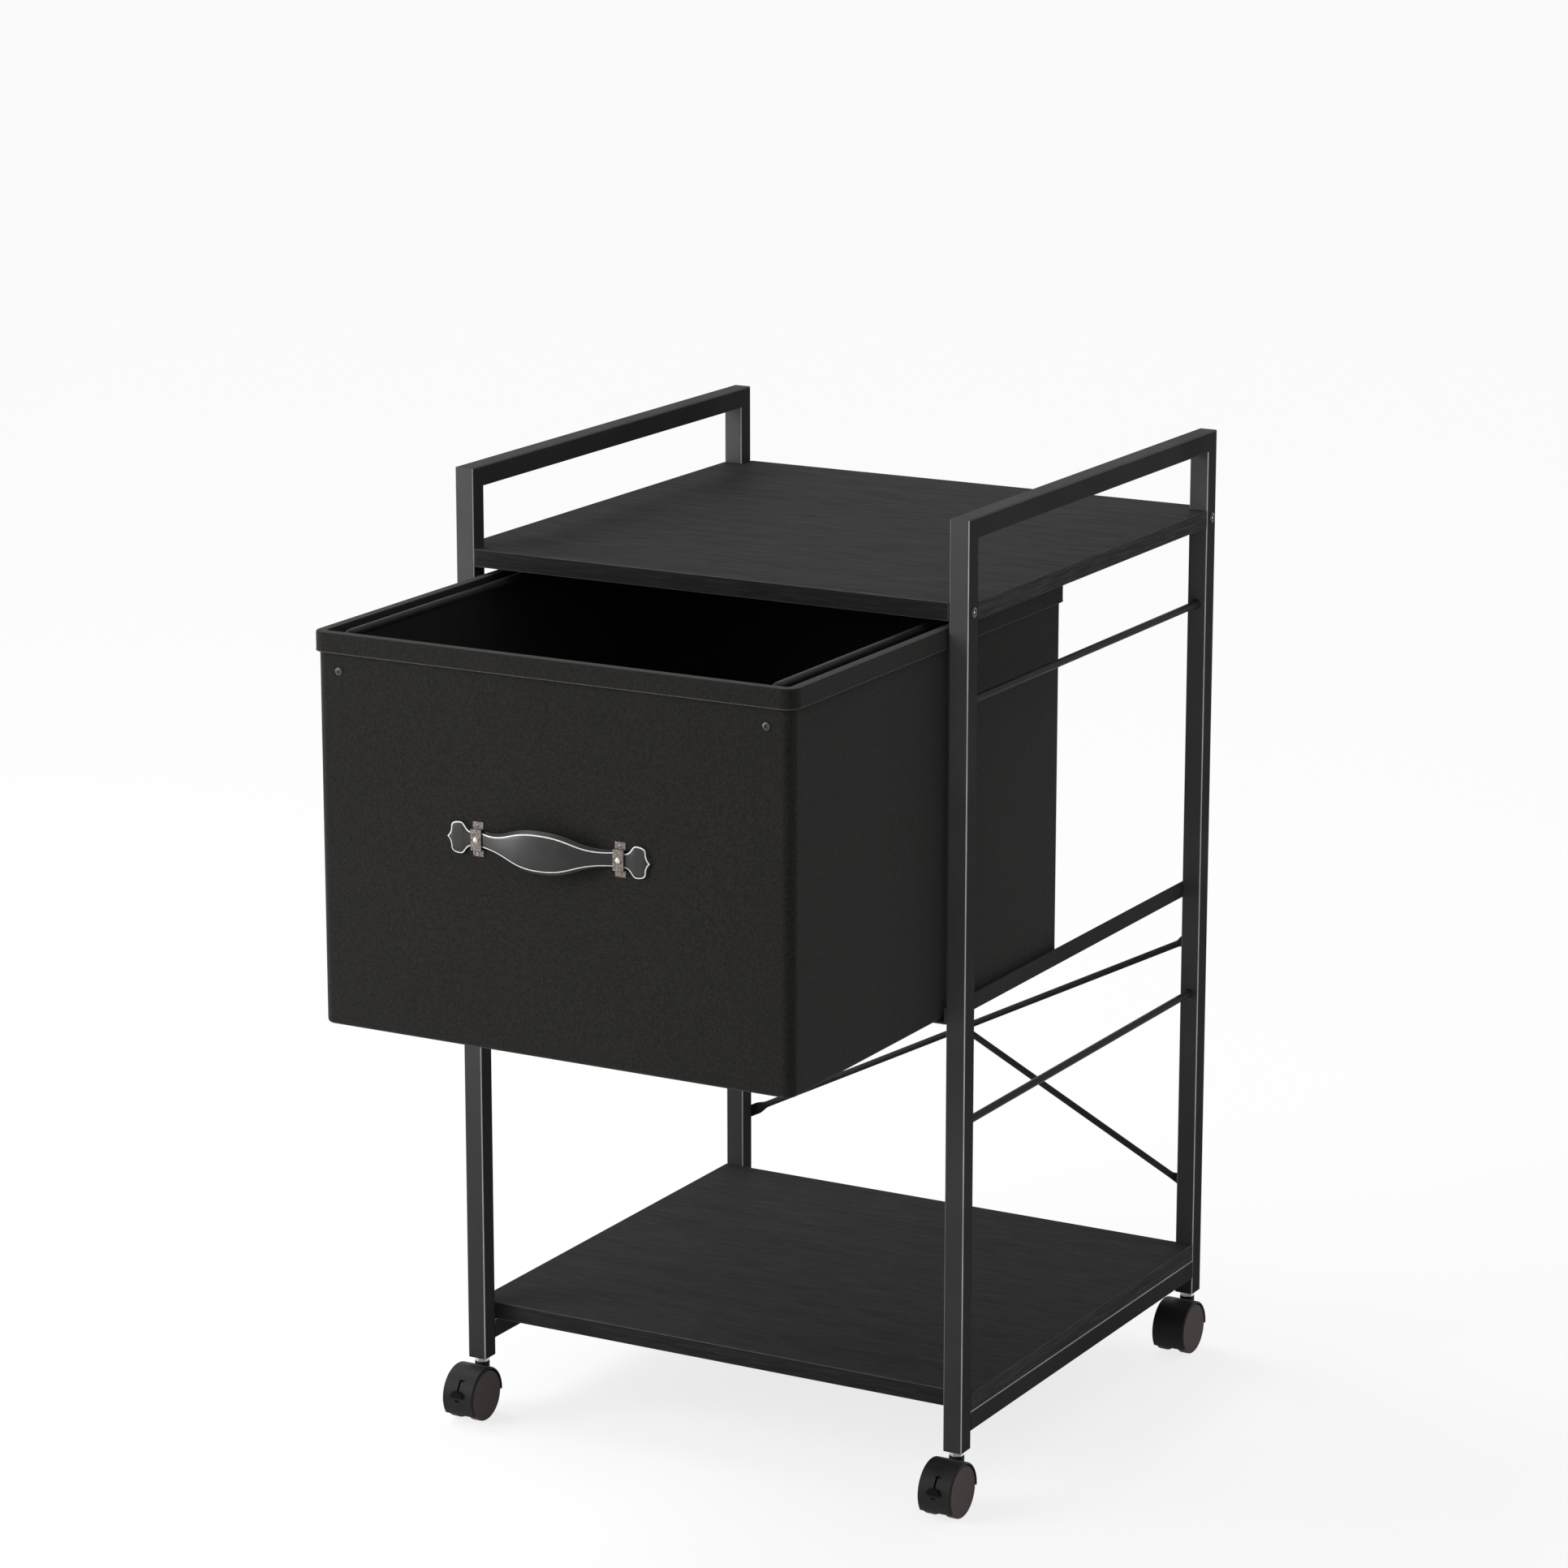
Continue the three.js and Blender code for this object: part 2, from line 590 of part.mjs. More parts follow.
// Bracket: two tabs on the drawer front, joined by a bridge over the neck of the strap
function bracketGeometry() {
  const inside = STRAP_NECK / 2 + SEAT_GAP;
  const outside = inside + BRACKET_GAUGE;
  const tip = outside + BRACKET_TAB;
  const bridgeBack = -strapFront - SEAT_GAP;
  const bridgeFront = bridgeBack - BRACKET_GAUGE;
  const section = polygon([
    [0, inside],
    [0, tip],
    [-BRACKET_GAUGE, tip],
    [-BRACKET_GAUGE, outside],
    [bridgeFront, outside],
    [bridgeFront, -outside],
    [-BRACKET_GAUGE, -outside],
    [-BRACKET_GAUGE, -tip],
    [0, -tip],
    [0, -inside],
    [bridgeBack, -inside],
    [bridgeBack, inside],
  ]);
  return extrudeAlongX(section, BRACKET_WIDTH);
}

function buildDrawer() {
  const drawer = new THREE.Group();
  const middleY = drawerDepth / 2;
  const middleZ = DRAWER_HEIGHT / 2;
  const endPanel = () => extrude(frontPanelShape(), DRAWER_HEIGHT, CURVE_STEPS);
  place(drawer, 'drawer_front_panel', endPanel(), CHARCOAL_FABRIC);
  const rearAt = new THREE.Vector3(0, drawerDepth, 0);
  place(drawer, 'drawer_rear_panel', endPanel().rotateZ(Math.PI), CHARCOAL_FABRIC, rearAt);
  const baseAt = new THREE.Vector3(0, middleY, PANEL_THICKNESS / 2);
  place(drawer, 'drawer_base_panel', basePanelGeometry(), CHARCOAL_FABRIC, baseAt);
  const rimAt = new THREE.Vector3(0, 0, DRAWER_HEIGHT - RIM_HEIGHT);
  place(drawer, 'drawer_rim', rimGeometry(), CHARCOAL_FABRIC, rimAt);
  for (const [sideName, side] of [['left', -1], ['right', 1]]) {
    const wallX = side * (drawerHalfWidth - PANEL_THICKNESS / 2);
    const wallAt = new THREE.Vector3(wallX, middleY, middleZ);
    place(drawer, `drawer_${sideName}_panel`, sidePanelGeometry(), CHARCOAL_FABRIC, wallAt);
    const railX = side * (drawerHalfWidth - PANEL_THICKNESS - FILE_RAIL_INSET);
    const railAt = new THREE.Vector3(railX, 0, DRAWER_HEIGHT - FILE_RAIL_SINK);
    place(drawer, `${sideName}_file_rail`, fileRailGeometry(), POWDER_COAT, railAt);
    const bracketAt = new THREE.Vector3(side * HANDLE_SPAN / 2, 0, HANDLE_HEIGHT);
    place(drawer, `handle_${sideName}_bracket`, bracketGeometry(), AGED_METAL, bracketAt);
  }
  place(drawer, 'handle_strap', strapGeometry(), GREY_LEATHER, new THREE.Vector3(0, 0, HANDLE_HEIGHT));
  drawer.position.set(0, -DRAWER_PULL, footHeight + drawerFloor);
  return drawer;
}

// Casters: each one's origin is on the floor under its stem, with the axle in front of it

const neckTop = footHeight - COLLAR_HEIGHT - 2 * SEAT_GAP;
const axleY = -CASTER_TRAIL;
const brakePivotY = axleY - BRAKE_PIVOT_REACH;
const brakePivotZ = axleHeight + BRAKE_PIVOT_RISE;

// Side view of the hood: an arc from behind the axle over the top and down the front
function hoodShape() {
  const rearAngle = -Math.asin(HOOD_REAR_DROP / hoodRadius);
  const frontDrop = Math.asin((axleHeight - HOOD_FRONT_CLEARANCE) / hoodRadius);
  const shape = new THREE.Shape();
  shape.absarc(axleY, axleHeight, hoodRadius, rearAngle, Math.PI + frontDrop);
  shape.closePath();
  return shape;
}

// Hood over both wheels with a web between them, a neck for the stem and, if braked, a slot
function hoodGeometry(braked) {
  let hood = solid(extrudeAlongX(hoodShape(), 2 * hoodHalfWidth, HOOD_STEPS));
  const neckLength = neckTop - axleHeight;
  const neck = cylinderAlongZ(NECK_DIAMETER / 2, neckLength, PIN_SIDES);
  hood = hood.add(solid(neck.translate(0, 0, neckTop - neckLength / 2)));
  const wellWidth = 2 * hoodHalfWidth;
  for (const side of [-1, 1]) {
    const well = cylinderAlongX(wellRadius, wellWidth, WELL_SIDES);
    well.translate(side * (WEB_WIDTH + wellWidth) / 2, axleY, axleHeight);
    hood = hood.subtract(solid(well));
  }
  const axleBore = cylinderAlongX(AXLE_DIAMETER / 2 + SEAT_GAP, 2 * WEB_WIDTH, PIN_SIDES);
  hood = hood.subtract(solid(axleBore.translate(0, axleY, axleHeight)));
  const boreDepth = PIN_LENGTH + SEAT_GAP;
  const stemBore = cylinderAlongZ(PIN_DIAMETER / 2 + RUNNING_GAP, 2 * boreDepth, PIN_SIDES);
  hood = hood.subtract(solid(stemBore.translate(0, 0, neckTop)));
  if (braked) {
    hood = hood.subtract(brakeSlot());
  }
  return geometryOf(hood);
}

// Space that the lever needs in the hood: a slot for its sweep and two blind holes for its pivot
function brakeSlot() {
  const boss = BRAKE_BOSS_DIAMETER / 2 + SEAT_GAP;
  const reach = hoodRadius - BRAKE_PIVOT_REACH + HOOD_WALL;
  const tilt = BRAKE_TILT * Math.PI / 180;
  const upper = reach * Math.tan(tilt) + BRAKE_ARM_HEIGHT / 2 + SEAT_GAP;
  const lower = -BRAKE_ARM_HEIGHT / 2 - SEAT_GAP;
  const width = BRAKE_ARM_WIDTH + 2 * SEAT_GAP;
  const sweep = polygon([
    [0, boss],
    [-reach, upper],
    [-reach, lower],
    [0, lower],
  ]);
  const pocket = new THREE.Shape().absarc(0, 0, boss, 0, 2 * Math.PI);
  const pivot = cylinderAlongX(
    BRAKE_PIVOT_DIAMETER / 2 + RUNNING_GAP,
    BRAKE_ARM_WIDTH + 2 * (BRAKE_PIVOT_DEPTH + SEAT_GAP),
    PIN_SIDES,
  );
  return solid(extrudeAlongX(sweep, width))
    .add(solid(extrudeAlongX(pocket, width, PIN_SIDES / 2)))
    .add(solid(pivot))
    .translate([0, brakePivotY, brakePivotZ]);
}

// Brake lever: a boss with side pivots, an arm through the slot and a half-round toe tab outside
function brakeGeometry() {
  const tabBack = BRAKE_PIVOT_REACH - hoodRadius - BRAKE_GAP;
  const tabFront = tabBack - BRAKE_TAB_GAUGE;
  const armEnd = (tabBack + tabFront) / 2;
  const half = BRAKE_ARM_HEIGHT / 2;
  const arm = polygon([[0, half], [armEnd, half], [armEnd, -half], [0, -half]]);
  const boss = new THREE.Shape().absarc(0, 0, BRAKE_BOSS_DIAMETER / 2, 0, 2 * Math.PI);
  const tabFoot = -BRAKE_TAB_HEIGHT / 2;
  const tabOutline = new THREE.Shape();
  tabOutline.absellipse(0, tabFoot, BRAKE_TAB_WIDTH / 2, BRAKE_TAB_HEIGHT, 0, Math.PI);
  const tab = extrudeAlongY(tabOutline, BRAKE_TAB_GAUGE, CURVE_STEPS);
  const pivotLength = BRAKE_ARM_WIDTH + 2 * BRAKE_PIVOT_DEPTH;
  const pivot = cylinderAlongX(BRAKE_PIVOT_DIAMETER / 2, pivotLength, PIN_SIDES);
  const lever = solid(extrudeAlongX(arm, BRAKE_ARM_WIDTH))
    .add(solid(extrudeAlongX(boss, BRAKE_ARM_WIDTH, PIN_SIDES / 2)))
    .add(solid(pivot))
    .add(solid(tab.translate(0, tabFront, 0)));
  return geometryOf(lever);
}

// Wheel with a closed outer disc, a tread and a hub; side is 1 for the one on the right
function wheelGeometry(side) {
  const bore = AXLE_DIAMETER / 2 + RUNNING_GAP;
  const hub = HUB_DIAMETER / 2;
  const treadInside = wheelRadius - WHEEL_TREAD;
  const discInside = WHEEL_WIDTH - WHEEL_DISC;
  const profile = [
    [0, discInside],
    [bore, discInside],
    [bore, 0],
    [hub, 0],
    [hub, discInside],
    [treadInside, discInside],
    [treadInside, 0],
    [wheelRadius - WHEEL_EDGE, 0],
    [wheelRadius, WHEEL_EDGE],
    [wheelRadius, WHEEL_WIDTH - WHEEL_EDGE],
    [wheelRadius - WHEEL_EDGE, WHEEL_WIDTH],
    [0, WHEEL_WIDTH],
  ];
  const points = profile.map(([radius, width]) => new THREE.Vector2(radius, width));
  const wheel = new THREE.LatheGeometry(points, WHEEL_SIDES, Math.PI / WHEEL_SIDES);
  return wheel.rotateZ(-side * Math.PI / 2);
}

function axleGeometry() {
  const blind = WHEEL_WIDTH - WHEEL_DISC - SEAT_GAP;
  return cylinderAlongX(AXLE_DIAMETER / 2, WEB_WIDTH + 2 * (SEAT_GAP + blind), PIN_SIDES);
}

// Stem: a swivel pin in the neck, a hexagonal collar and a threaded shank up into the post
function stemGeometry() {
  const collarBottom = neckTop + SEAT_GAP;
  const collarTop = collarBottom + COLLAR_HEIGHT;
  const pinBottom = neckTop - PIN_LENGTH;
  const between = (geometry, low, high) => solid(geometry.translate(0, 0, (low + high) / 2));
  const pin = cylinderAlongZ(PIN_DIAMETER / 2, collarTop - pinBottom, PIN_SIDES);
  const collar = cylinderAlongZ(COLLAR_FLATS / Math.sqrt(3), COLLAR_HEIGHT, 6);
  const shankTop = footHeight + SHANK_LENGTH;
  const shank = cylinderAlongZ(SHANK_DIAMETER / 2, shankTop - collarBottom, PIN_SIDES);
  const stem = between(pin, pinBottom, collarTop)
    .add(between(collar, collarBottom, collarTop))
    .add(between(shank, collarBottom, shankTop));
  return geometryOf(stem);
}

function buildCaster(corner, x, y, braked) {
  const caster = new THREE.Group();
  const axleAt = new THREE.Vector3(0, axleY, axleHeight);
  place(caster, `${corner}_caster_stem`, stemGeometry(), ZINC);
  place(caster, `${corner}_caster_hood`, hoodGeometry(braked), BLACK_PLASTIC);
  place(caster, `${corner}_caster_axle`, axleGeometry(), ZINC, axleAt);
  for (const [sideName, side] of [['left', -1], ['right', 1]]) {
    const wheelAt = axleAt.clone().setX(side * (WEB_WIDTH / 2 + SEAT_GAP));
    place(caster, `${corner}_caster_${sideName}_wheel`, wheelGeometry(side), WHEEL_PLASTIC, wheelAt);
  }
  if (braked) {
    const pivotAt = new THREE.Vector3(0, brakePivotY, brakePivotZ);
    place(caster, `${corner}_brake_lever`, brakeGeometry(), BLACK_PLASTIC, pivotAt);
  }
  caster.position.set(x, y, 0);
  return caster;
}

// Whole cart, moved so that its origin is on the floor under the middle of its bounding box
const cart = new THREE.Group();
cart.add(buildFrame(), buildDrawer());
for (const [sideName, side] of [['left', -1], ['right', 1]]) {
  const x = side * postCentreX;
  cart.add(buildCaster(`front_${sideName}`, x, TUBE_SIZE / 2, true));
  cart.add(buildCaster(`rear_${sideName}`, x, FRAME_DEPTH - TUBE_SIZE / 2, false));
}
const extent = new THREE.Box3().setFromObject(cart);
cart.position.y = -(extent.min.y + extent.max.y) / 2;

export default cart;
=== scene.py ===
from math import asin, cos, degrees, hypot, pi, radians, sin, sqrt, tan

import bmesh
import bpy
from mathutils import Matrix, Vector


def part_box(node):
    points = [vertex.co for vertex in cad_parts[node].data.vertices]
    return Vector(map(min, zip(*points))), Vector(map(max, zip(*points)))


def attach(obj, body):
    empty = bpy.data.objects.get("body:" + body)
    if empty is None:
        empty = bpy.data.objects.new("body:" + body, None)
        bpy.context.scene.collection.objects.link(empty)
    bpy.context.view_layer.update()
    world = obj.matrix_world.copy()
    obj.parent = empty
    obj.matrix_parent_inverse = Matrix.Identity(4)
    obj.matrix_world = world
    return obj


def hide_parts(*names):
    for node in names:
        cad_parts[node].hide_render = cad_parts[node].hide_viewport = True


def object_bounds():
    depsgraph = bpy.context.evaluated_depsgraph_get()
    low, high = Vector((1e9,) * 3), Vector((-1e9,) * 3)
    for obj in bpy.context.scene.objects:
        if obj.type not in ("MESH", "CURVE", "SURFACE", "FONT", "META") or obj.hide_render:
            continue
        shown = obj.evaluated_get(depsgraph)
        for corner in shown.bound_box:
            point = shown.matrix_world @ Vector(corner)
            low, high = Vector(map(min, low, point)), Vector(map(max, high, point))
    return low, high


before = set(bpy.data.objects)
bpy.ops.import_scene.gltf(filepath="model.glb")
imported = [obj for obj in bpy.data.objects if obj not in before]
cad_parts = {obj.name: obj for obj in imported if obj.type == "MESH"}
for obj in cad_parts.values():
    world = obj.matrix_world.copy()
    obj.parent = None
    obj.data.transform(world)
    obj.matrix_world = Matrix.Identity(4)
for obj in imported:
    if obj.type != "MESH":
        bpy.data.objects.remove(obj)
cad_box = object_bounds()

# Units, directions and the names that repeat
MM = 0.001
X = Vector((1, 0, 0))
Y = Vector((0, 1, 0))
Z = Vector((0, 0, 1))
SIDES = {"left": -1, "right": 1}
ENDS = {"front": -1, "rear": 1}

# Smoothness of round shapes
CORNER_STEPS = 6
ROD_SIDES = 20
BEND_STEPS = 8
LATHE_STEPS = 48
CURVE_STEPS = 14
HOOD_STEPS = 56
SMOOTH_ANGLE = 35

# Frame of square tube, thin rods and steel angles
TUBE_CORNER = 1.6 * MM
TUBE_WALL = 1.2 * MM
BORE_CORNER = 0.6 * MM
FOOT_DEPTH = 28 * MM
FOOT_EDGE = 0.4 * MM
# Strengths of the painted highlight along tube corners: outer corners on the right, outer corners on the left, inner
# corners
HIGHLIGHT_FULL = 1
HIGHLIGHT_PART = 0.86
HIGHLIGHT_LOW = 0.76
# Heights between which the powder coat is painted paler towards the top, as painted light
PAINTED_LIGHT_FROM = 0.1
PAINTED_LIGHT_TO = 0.6
WELD_REACH = 1.8 * MM
WELD_LEG = 1.0 * MM
WELD_STEPS = 5
ANGLE_GAUGE = 1.5 * MM
ANGLE_EDGE = 0.45 * MM

# Crossed brace rods with crushed ends
BRACE_RISE = 201 * MM
BRACE_OVERRUN = 4.6 * MM
BRACE_RADIUS = 2.5 * MM
BRACE_OFFSET = 2.8 * MM
TAB_HALF_WIDTH = 4.5 * MM
TAB_HALF_GAUGE = 1 * MM
TAB_START = 13.5 * MM
JOGGLE = 8 * MM
JOGGLE_STEPS = 8
TAB_END_STEPS = 6

# Shelves and their fasteners
BOARD_EDGE = 0.6 * MM
NOTCH_GAP = 0.3 * MM
BOLT_RADIUS = 3.7 * MM
BOLT_SHANK = 3 * MM
BOLT_GRIP = 22 * MM
BOLT_SEAT = 0.3 * MM
BOLT_RIM = 0.35 * MM
BOLT_HEIGHT = 1.4 * MM
BOLT_SOCKET = 1.9 * MM
BOLT_SOCKET_DEPTH = 0.8 * MM
# Bright pin in each bolt's socket: a painted glint
BOLT_GLINT = 0.9 * MM
BOLT_GLINT_HEIGHT = 0.6 * MM
SCREW_RADIUS = 3.6 * MM
SCREW_HEIGHT = 2 * MM
SCREW_RIM = 0.6 * MM
CROSS_LENGTH = 1.9 * MM
CROSS_HALF = 0.35 * MM
CROSS_DEPTH = 0.9 * MM

# Drawer of fabric-covered board
WALL = 5 * MM
DRAWER_CORNER = 8 * MM
BOTTOM_EDGE = 2.6 * MM
TOP_EDGE = 1.2 * MM
BOTTOM_SKIN = 0.6 * MM
BOTTOM_LAP = 20 * MM
FABRIC_CROWN = 0.9 * MM
SIDE_STEPS = 16
HEIGHT_STEPS = 14
EDGE_STEPS = 4
RIM_TOP = 0.5 * MM
RIM_FLANGE = 9 * MM
RIM_LINING = 0.25 * MM
RIM_EDGE = 1.5 * MM
RIM_INNER_EDGE = 0.7 * MM
RIM_HEM = 0.5 * MM
PIPING_RADIUS = 0.42 * MM
BASE_GAP = 0.4 * MM
BASE_EDGE = 1.0 * MM
RAIL_BEND = 7 * MM
RAIL_RADIUS = 3 * MM
RAIL_TIP = 0.7 * MM
RIVET_RADIUS = 3.1 * MM
RIVET_HEIGHT = 1.3 * MM
RIVET_RIM = 0.35 * MM
RIVET_DIMPLE = 1.1 * MM
RIVET_DROP = 26 * MM

# Strap handle and its clips
NECK_HALF = 5.9 * MM
FLARE_HALF = 12 * MM
FLARE_REACH = 9 * MM
SHOULDER_HALF = 7 * MM
STRAP_BACK = 0.3 * MM
STRAP_GAUGE = 2.6 * MM
STRAP_BOW = 12 * MM
BOW_FLATNESS = 2.2
STRAP_PIPING = 0.75 * MM
STRAP_CHAMFER = 0.35 * MM
STRAP_BEVEL = 1.0 * MM
STRAP_SWELL = 1.2 * MM
STRAP_RIM = 0.45 * MM
STRAP_CROWN = 0.045
STRAP_ROWS = 8
CLIP_GAUGE = 1.2 * MM
CLIP_TAB = 4.6 * MM
CLIP_EDGE = 0.3 * MM
STUD_RADIUS = 2.1 * MM
STUD_HEIGHT = 1.3 * MM
PIN_RADIUS = 0.95 * MM
PIN_HEIGHT = 0.5 * MM

# Casters
HOOD_EDGE = 1.3 * MM
HOOD_WALL = 1.5 * MM
HOOD_FRONT_CLEARANCE = 7.3 * MM
HOOD_REAR_DROP = 0.8 * MM
WEB_HALF = 4.7 * MM
NECK_RADIUS = 5.5 * MM
NECK_DROP = 3.8 * MM
NECK_LENGTH = 18 * MM
NECK_EDGE = 0.6 * MM
WHEEL_EDGE = 1.2 * MM
WHEEL_TREAD = 3 * MM
WHEEL_DISC = 2 * MM
WHEEL_DISH = 0.25 * MM
HUB_RADIUS = 5 * MM
AXLE_BORE = 2.65 * MM
SLOT_HALF = 0.8 * MM
SLOT_RISE = 6.8 * MM
SLOT_SLOPE = 0.73
SLOT_DROP = 1.6 * MM
SLOT_TOP = 9.4 * MM
SLOT_FOOT = 3.4 * MM
SLOT_FOOT_HEIGHT = 1.4 * MM
SLOT_FOOT_DEPTH = 1.2 * MM
EYE_HALF = 1.7 * MM
EYE_DROP = 6.4 * MM
EYE_HEIGHT = 1.5 * MM
EYE_DEPTH = 1.2 * MM
LEVER_BOSS = 3 * MM
LEVER_HALF = 0.55 * MM
LEVER_HALF_HEIGHT = 1.3 * MM
LEVER_TAB_HALF = 5.4 * MM
LEVER_TAB_HEIGHT = 5.7 * MM
LEVER_TAB_GAUGE = 1.1 * MM
LEVER_TAB_SINK = 0.4 * MM
LEVER_EDGE = 0.4 * MM
STEM_EDGE = 0.25 * MM

# Camera of the photograph and the studio
CAMERA_AT = Vector((1.7803, -3.1716, 1.3851))
CAMERA_YAW = 29.15
CAMERA_PITCH = 13.90
CAMERA_LENS = 120.2
FLOOR_HALF = 30
FLOOR_COLOUR = 0.78
FLOOR_SHADE = 0.22
FLOOR_GLOW = 0.79
AMBIENT = 0.48
KEY_FROM = Vector((-0.6, 0.14, 0.78))
KEY_STRENGTH = 1.0
KEY_ANGLE = 28
FILL_FROM = Vector((0, 0.9, 0.4))
FILL_STRENGTH = 0.35
FILL_ANGLE = 60
SOFTBOX_AT = Vector((-1.7, -1.9, 1.7))
SOFTBOX_SIZE = 1.4
SOFTBOX_POWER = 36
STRIP_AT = Vector((-1.9, -1.5, 0.55))
STRIP_SIZE = 0.8
STRIP_POWER = 22


# Outlines

def arc(middle, radius, start, end, steps=CORNER_STEPS):
    """Points of an arc about a middle, between two angles in degrees."""
    angles = [radians(start + (end - start) * i / steps) for i in range(steps + 1)]
    return [(middle[0] + radius * cos(a), middle[1] + radius * sin(a)) for a in angles]


def circle(radius, sides=ROD_SIDES):
    """Points of a full circle about the origin."""
    return arc((0, 0), radius, 0, 360, sides)[:-1]


def rounded_rectangle(half_width, half_height, radius, steps=CORNER_STEPS):
    """Points of a rectangle with round corners, about the origin."""
    right = half_width - radius
    top = half_height - radius
    return [
        *arc((right, -top), radius, -90, 0, steps),
        *arc((right, top), radius, 0, 90, steps),
        *arc((-right, top), radius, 90, 180, steps),
        *arc((-right, -top), radius, 180, 270, steps),
    ]


def bezier(controls, steps=CURVE_STEPS):
    """Points of a Bezier curve after its first control point."""
    points = []
    for i in range(1, steps + 1):
        level = [Vector(c) for c in controls]
        while len(level) > 1:
            level = [a.lerp(b, i / steps) for a, b in zip(level, level[1:])]
        points.append(tuple(level[0]))
    return points


def dome(radius, rim, height, steps=CORNER_STEPS):
    """Profile of a round head that stands on its seat, from its edge to its crown."""
    turns = [pi / 2 * i / steps for i in range(steps + 1)]
    return [(radius, 0), *[(radius * cos(a), rim + (height - rim) * sin(a)) for a in turns]]


# Skins: lists of points and of faces

def loft(rings, closed=False):
    """Skin through rings of equal length, with its ends capped unless it closes."""
    count = len(rings[0])
    points = [p for ring in rings for p in ring]
    faces = []
    for i in range(len(rings) if closed else len(rings) - 1):
        low = i * count
        high = (i + 1) % len(rings) * count
        for j in range(count):
            k = (j + 1) % count
            faces.append((low + j, low + k, high + k, high + j))
    if not closed:
        faces.append(tuple(range(count - 1, -1, -1)))
        faces.append(tuple(range(len(points) - count, len(points))))
    return points, faces


def sweep(section, stations, closed=False):
    """Skin of a section of (across, up) pairs carried through (origin, across, up) stations."""
    return loft([[o + a * u + b * v for a, b in section] for o, u, v in stations], closed)


def prism(outline, origin, across, up, depth):
    """Skin of an outline of (across, up) pairs, extruded by the vector depth."""
    near = [origin + a * across + b * up for a, b in outline]
    return loft([near, [p + depth for p in near]])


def lathe(profile, origin, axis, steps=LATHE_STEPS):
    """Skin of a profile of (radius, height) pairs, turned about an axis."""
    side = axis.orthogonal().normalized()
    turns = [Matrix.Rotation(2 * pi * i / steps, 3, axis) for i in range(steps)]
    return sweep(profile, [(origin, turn @ side, axis) for turn in turns], closed=True)


def block(low, high):
    """Skin of a box between two corners."""
    size = high - low
    return prism([(0, 0), (size.x, 0), (size.x, size.y), (0, size.y)], low, X, Y, size.z * Z)


def wire_path(corners, bend):
    """Points of a wire through its corners, with each bend rounded to a radius."""
    points = [corners[0]]
    for before, corner, after in zip(corners, corners[1:], corners[2:]):
        back = (before - corner).normalized()
        ahead = (after - corner).normalized()
        half = back.angle(ahead) / 2
        middle = corner + (back + ahead).normalized() * (bend / sin(half))
        start = corner + back * (bend / tan(half)) - middle
        axis = start.cross(corner - middle)
        for i in range(BEND_STEPS + 1):
            turn = Matrix.Rotation((pi - 2 * half) * i / BEND_STEPS, 3, axis)
            points.append(middle + turn @ start)
    points.append(corners[-1])
    return points


def wire(points, radii, side):
    """Round skin along points, with a radius at each; side is square to the whole path."""
    rings = []
    for i, point in enumerate(points):
        ahead = points[min(i + 1, len(points) - 1)] - points[max(i - 1, 0)]
        up = ahead.normalized().cross(side)
        rings.append([point + a * side + b * up for a, b in circle(radii[i])])
    return loft(rings)


# Pieces

def centre(node):
    """Middle of a CAD node's box."""
    low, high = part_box(node)
    return (low + high) / 2


def clean(mesh):
    """Joins points that meet and turns every face outward."""
    skin = bmesh.new()
    skin.from_mesh(mesh)
    bmesh.ops.remove_doubles(skin, verts=skin.verts, dist=0.002 * MM)
    bmesh.ops.dissolve_degenerate(skin, edges=skin.edges, dist=0.001 * MM)
    bmesh.ops.recalc_face_normals(skin, faces=skin.faces)
    skin.to_mesh(mesh)
    skin.free()


def new_object(name, skin, slots=None):
    """Object of a skin, in the scene; slots gives each face's material number."""
    mesh = bpy.data.meshes.new(name)
    mesh.from_pydata(skin[0], [], skin[1])
    if slots:
        mesh.polygons.foreach_set("material_index", slots)
    clean(mesh)
    obj = bpy.data.objects.new(name, mesh)
    bpy.context.scene.collection.objects.link(obj)
    return obj


def combine(obj, operation, skin):
    """Joins a skin to an object's mesh (UNION) or cuts it out (DIFFERENCE)."""
    tool = new_object("tool", skin)
    modifier = obj.modifiers.new("combine", "BOOLEAN")
    modifier.operation = operation
    modifier.solver = "EXACT"
    modifier.object = tool
    ready = obj.evaluated_get(bpy.context.evaluated_depsgraph_get())
    obj.data = bpy.data.meshes.new_from_object(ready)
    obj.modifiers.clear()
    clean(obj.data)
    bpy.data.objects.remove(tool)


def round_edges(obj, width, slot=-1):
    """Rounds every sharp edge; slot is the material number of the new faces."""
    modifier = obj.modifiers.new("edges", "BEVEL")
    modifier.width = width
    modifier.segments = 3
    modifier.limit_method = "ANGLE"
    modifier.angle_limit = radians(SMOOTH_ANGLE)
    modifier.harden_normals = True
    modifier.material = slot


def dress(obj, material, body, nodes=(), bevel=0):
    """Shades a new piece, gives it its material and seats it on its CAD body."""
    if obj.data.materials:
        obj.data.materials.clear()
    obj.data.materials.append(material)
    obj.data.shade_smooth()
    obj.data.set_sharp_from_angle(angle=radians(SMOOTH_ANGLE))
    if bevel:
        round_edges(obj, bevel)
    else:
        flats = obj.modifiers.new("flats", "WEIGHTED_NORMAL")
        flats.keep_sharp = True
    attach(obj, body)
    if nodes:
        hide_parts(*nodes)
    return obj


def piece(name, skin, material, body, nodes=(), bevel=0):
    """New piece from a skin."""
    return dress(new_object(name, skin), material, body, nodes, bevel)


def finish_node(node, material, bevel=0):
    """Better finish on a CAD node that stays."""
    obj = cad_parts[node]
    obj.data.materials.clear()
    obj.data.materials.append(material)
    if bevel:
        round_edges(obj, bevel)


# Materials

